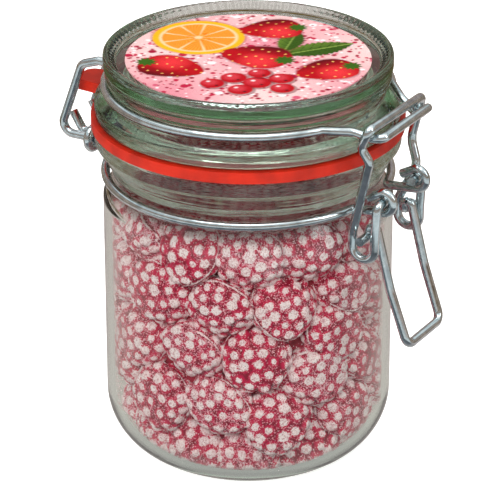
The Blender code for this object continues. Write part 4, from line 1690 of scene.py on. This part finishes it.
@dataclass
class Studio:
    """Pale sweep, soft lamps and the camera at the viewing angle.

    The room's stops are (height of a direction, from 0 level to 1 straight up, colour): what
    glass and wire mirror, and what is seen through glass.
    """

    azimuth: float = 31.0
    elevation: float = 25.11
    distance: float = 0.85
    target: tuple[float, float, float] = (0.0, 0.0, 0.060)
    lens: float = 214.4
    shift: tuple[float, float] = (0.0034, -0.0012)
    pale: str = "#F8F8F8"
    shaded: str = "#F6F6F6"
    mirrored: Stops = (
        (0.0, "#D8C6C2"), (0.05, "#8A6A50"), (0.09, "#2A1E12"), (0.13, "#9A8058"),
        (0.18, "#D8D8D6"), (0.22, "#4A3420"), (0.27, "#B0A098"), (0.31, "#6A4E3A"),
        (0.36, "#C8B8B8"), (0.42, "#6A5650"), (0.5, "#B8C0C0"), (0.58, "#F4FAFC"),
        (0.66, "#8C9CA0"), (0.8, "#FFFFFF"))
    through: Stops = (
        (0.0, "#CCD2CA"), (0.05, "#B4B4AA"), (0.08, "#4A3A2A"), (0.1, "#2A2018"),
        (0.12, "#9A7E56"), (0.16, "#C8CCC4"), (0.2, "#5A4A3A"), (0.24, "#C4C4BC"),
        (0.32, "#6A5C4C"), (0.4, "#B8B8B0"), (0.5, "#8A8278"), (0.65, "#C8CAC6"),
        (0.8, "#D8DAD8"))

    def aim(self, thing: bpy.types.Object, azimuth: float, elevation: float,
            distance: float) -> None:
        """Stands a lamp or camera round the jar, facing the target.

        Args:
            thing: the lamp or camera.
            azimuth: where it stands round the jar, in degrees.
            elevation: how high it stands, in degrees.
            distance: metres from the target.
        """
        a, e = math.radians(azimuth), math.radians(elevation)
        thing.location = Vector(self.target) + distance * Vector(
            (math.sin(a) * math.cos(e), -math.cos(a) * math.cos(e), math.sin(e)))
        way = Vector(self.target) - thing.location
        thing.rotation_euler = way.to_track_quat("-Z", "Y").to_euler()

    def camera(self) -> None:
        """Adds the camera and makes it the scene's own."""
        data = bpy.data.cameras.new("camera")
        data.lens, data.sensor_width = self.lens, 36.0
        data.shift_x, data.shift_y = self.shift
        data.clip_start, data.clip_end = 0.01, 20.0
        camera = place_object("camera", data)
        self.aim(camera, self.azimuth, self.elevation, self.distance)
        bpy.context.scene.camera = camera

    def lamp(self, name: str, azimuth: float, elevation: float, distance: float,
             size: tuple[float, float], power: float, mirrored: bool = True) -> None:
        """Adds one rectangular soft lamp that points at the jar.

        Args:
            name: name of the lamp.
            azimuth: where it stands round the jar, in degrees.
            elevation: how high it stands, in degrees.
            distance: metres from the jar.
            size: its width and height in metres.
            power: its power in watts.
            mirrored: whether it shows in glass and on wire.
        """
        data = bpy.data.lights.new(name, "AREA")
        data.shape = "RECTANGLE"
        data.size, data.size_y = size
        data.energy = power
        lamp = place_object(name, data)
        lamp.visible_camera = False
        lamp.visible_transmission = lamp.visible_glossy = mirrored
        self.aim(lamp, azimuth, elevation, distance)

    def world(self) -> None:
        """Makes the pale room, which glass and wire mirror with dark bands, for their edges."""
        world = bpy.data.worlds.new("room")
        world.use_nodes = True
        tree = world.node_tree
        tree.nodes.clear()
        way = add(tree, "TexCoord").outputs["Generated"]
        height = add(tree, "SeparateXYZ", links={"Vector": way}).outputs["Z"]
        mirrored = ramp(tree, height, self.mirrored)
        through = ramp(tree, height, self.through)
        rays = add(tree, "LightPath")
        tent = add(tree, "Background", {"Color": linear(self.shaded), "Strength": 0.75})
        for ray, colour in (("Is Glossy Ray", mirrored), ("Is Transmission Ray", through),
                            ("Is Camera Ray", None)):
            seen = add(tree, "Background", {"Color": linear(self.pale)},
                       {"Color": colour} if colour else {})
            tent = add(tree, "MixShader", links={"Fac": rays.outputs[ray], 1: tent, 2: seen})
        add(tree, "OutputWorld", links={"Surface": tent})
        bpy.context.scene.world = world

    def build(self, paper: bpy.types.Material) -> None:
        """Sets up sweep, lamps, room and camera.

        Args:
            paper: the sweep's finish.
        """
        bpy.ops.object.select_all(action="DESELECT")
        bpy.ops.mesh.primitive_plane_add(size=8.0)
        sweep = bpy.context.view_layer.objects.active
        sweep.name = "sweep"
        sweep.data.materials.append(paper)
        self.lamp("top_box", self.azimuth - 20.0, 75.0, 1.1, (0.8, 0.8), 4.0)
        self.lamp("front_box", self.azimuth - 12.0, 38.0, 1.2, (0.8, 0.5), 10.7, mirrored=False)
        self.lamp("low_box", self.azimuth - 50.0, 12.0, 1.2, (0.8, 0.5), 3.6, mirrored=False)
        self.lamp("back_box", self.azimuth + 165.0, 30.0, 1.2, (0.8, 0.4), 2.2, mirrored=False)
        self.lamp("right_box", self.azimuth + 65.0, 35.0, 1.1, (0.25, 0.7), 1.6)
        self.world()
        self.camera()
        bpy.context.scene.view_settings.view_transform = "Standard"


def main() -> None:
    """Builds the jar, its contents, its clasp and the studio."""
    logging.basicConfig(level=logging.INFO, format="%(message)s")
    GlassJar().build(BottleGlass("jar_bottle_glass", ringed_from=79.0).build())
    GlassLid().build(BottleGlass("lid_bottle_glass", ringed_from=90.0, cast_density=29.0).build())
    SealRing().build(SealRubber().build())
    Wirework(ZincPlatedWire().build(), ShearedSteel().build()).build()
    LidPrint().build(PrintedCard().build())
    CandyHeap().build(SugaredCandy().build(), HeapShade().build())
    Studio().build(PaleSweep().build())


if __name__ == "__main__":
    main()
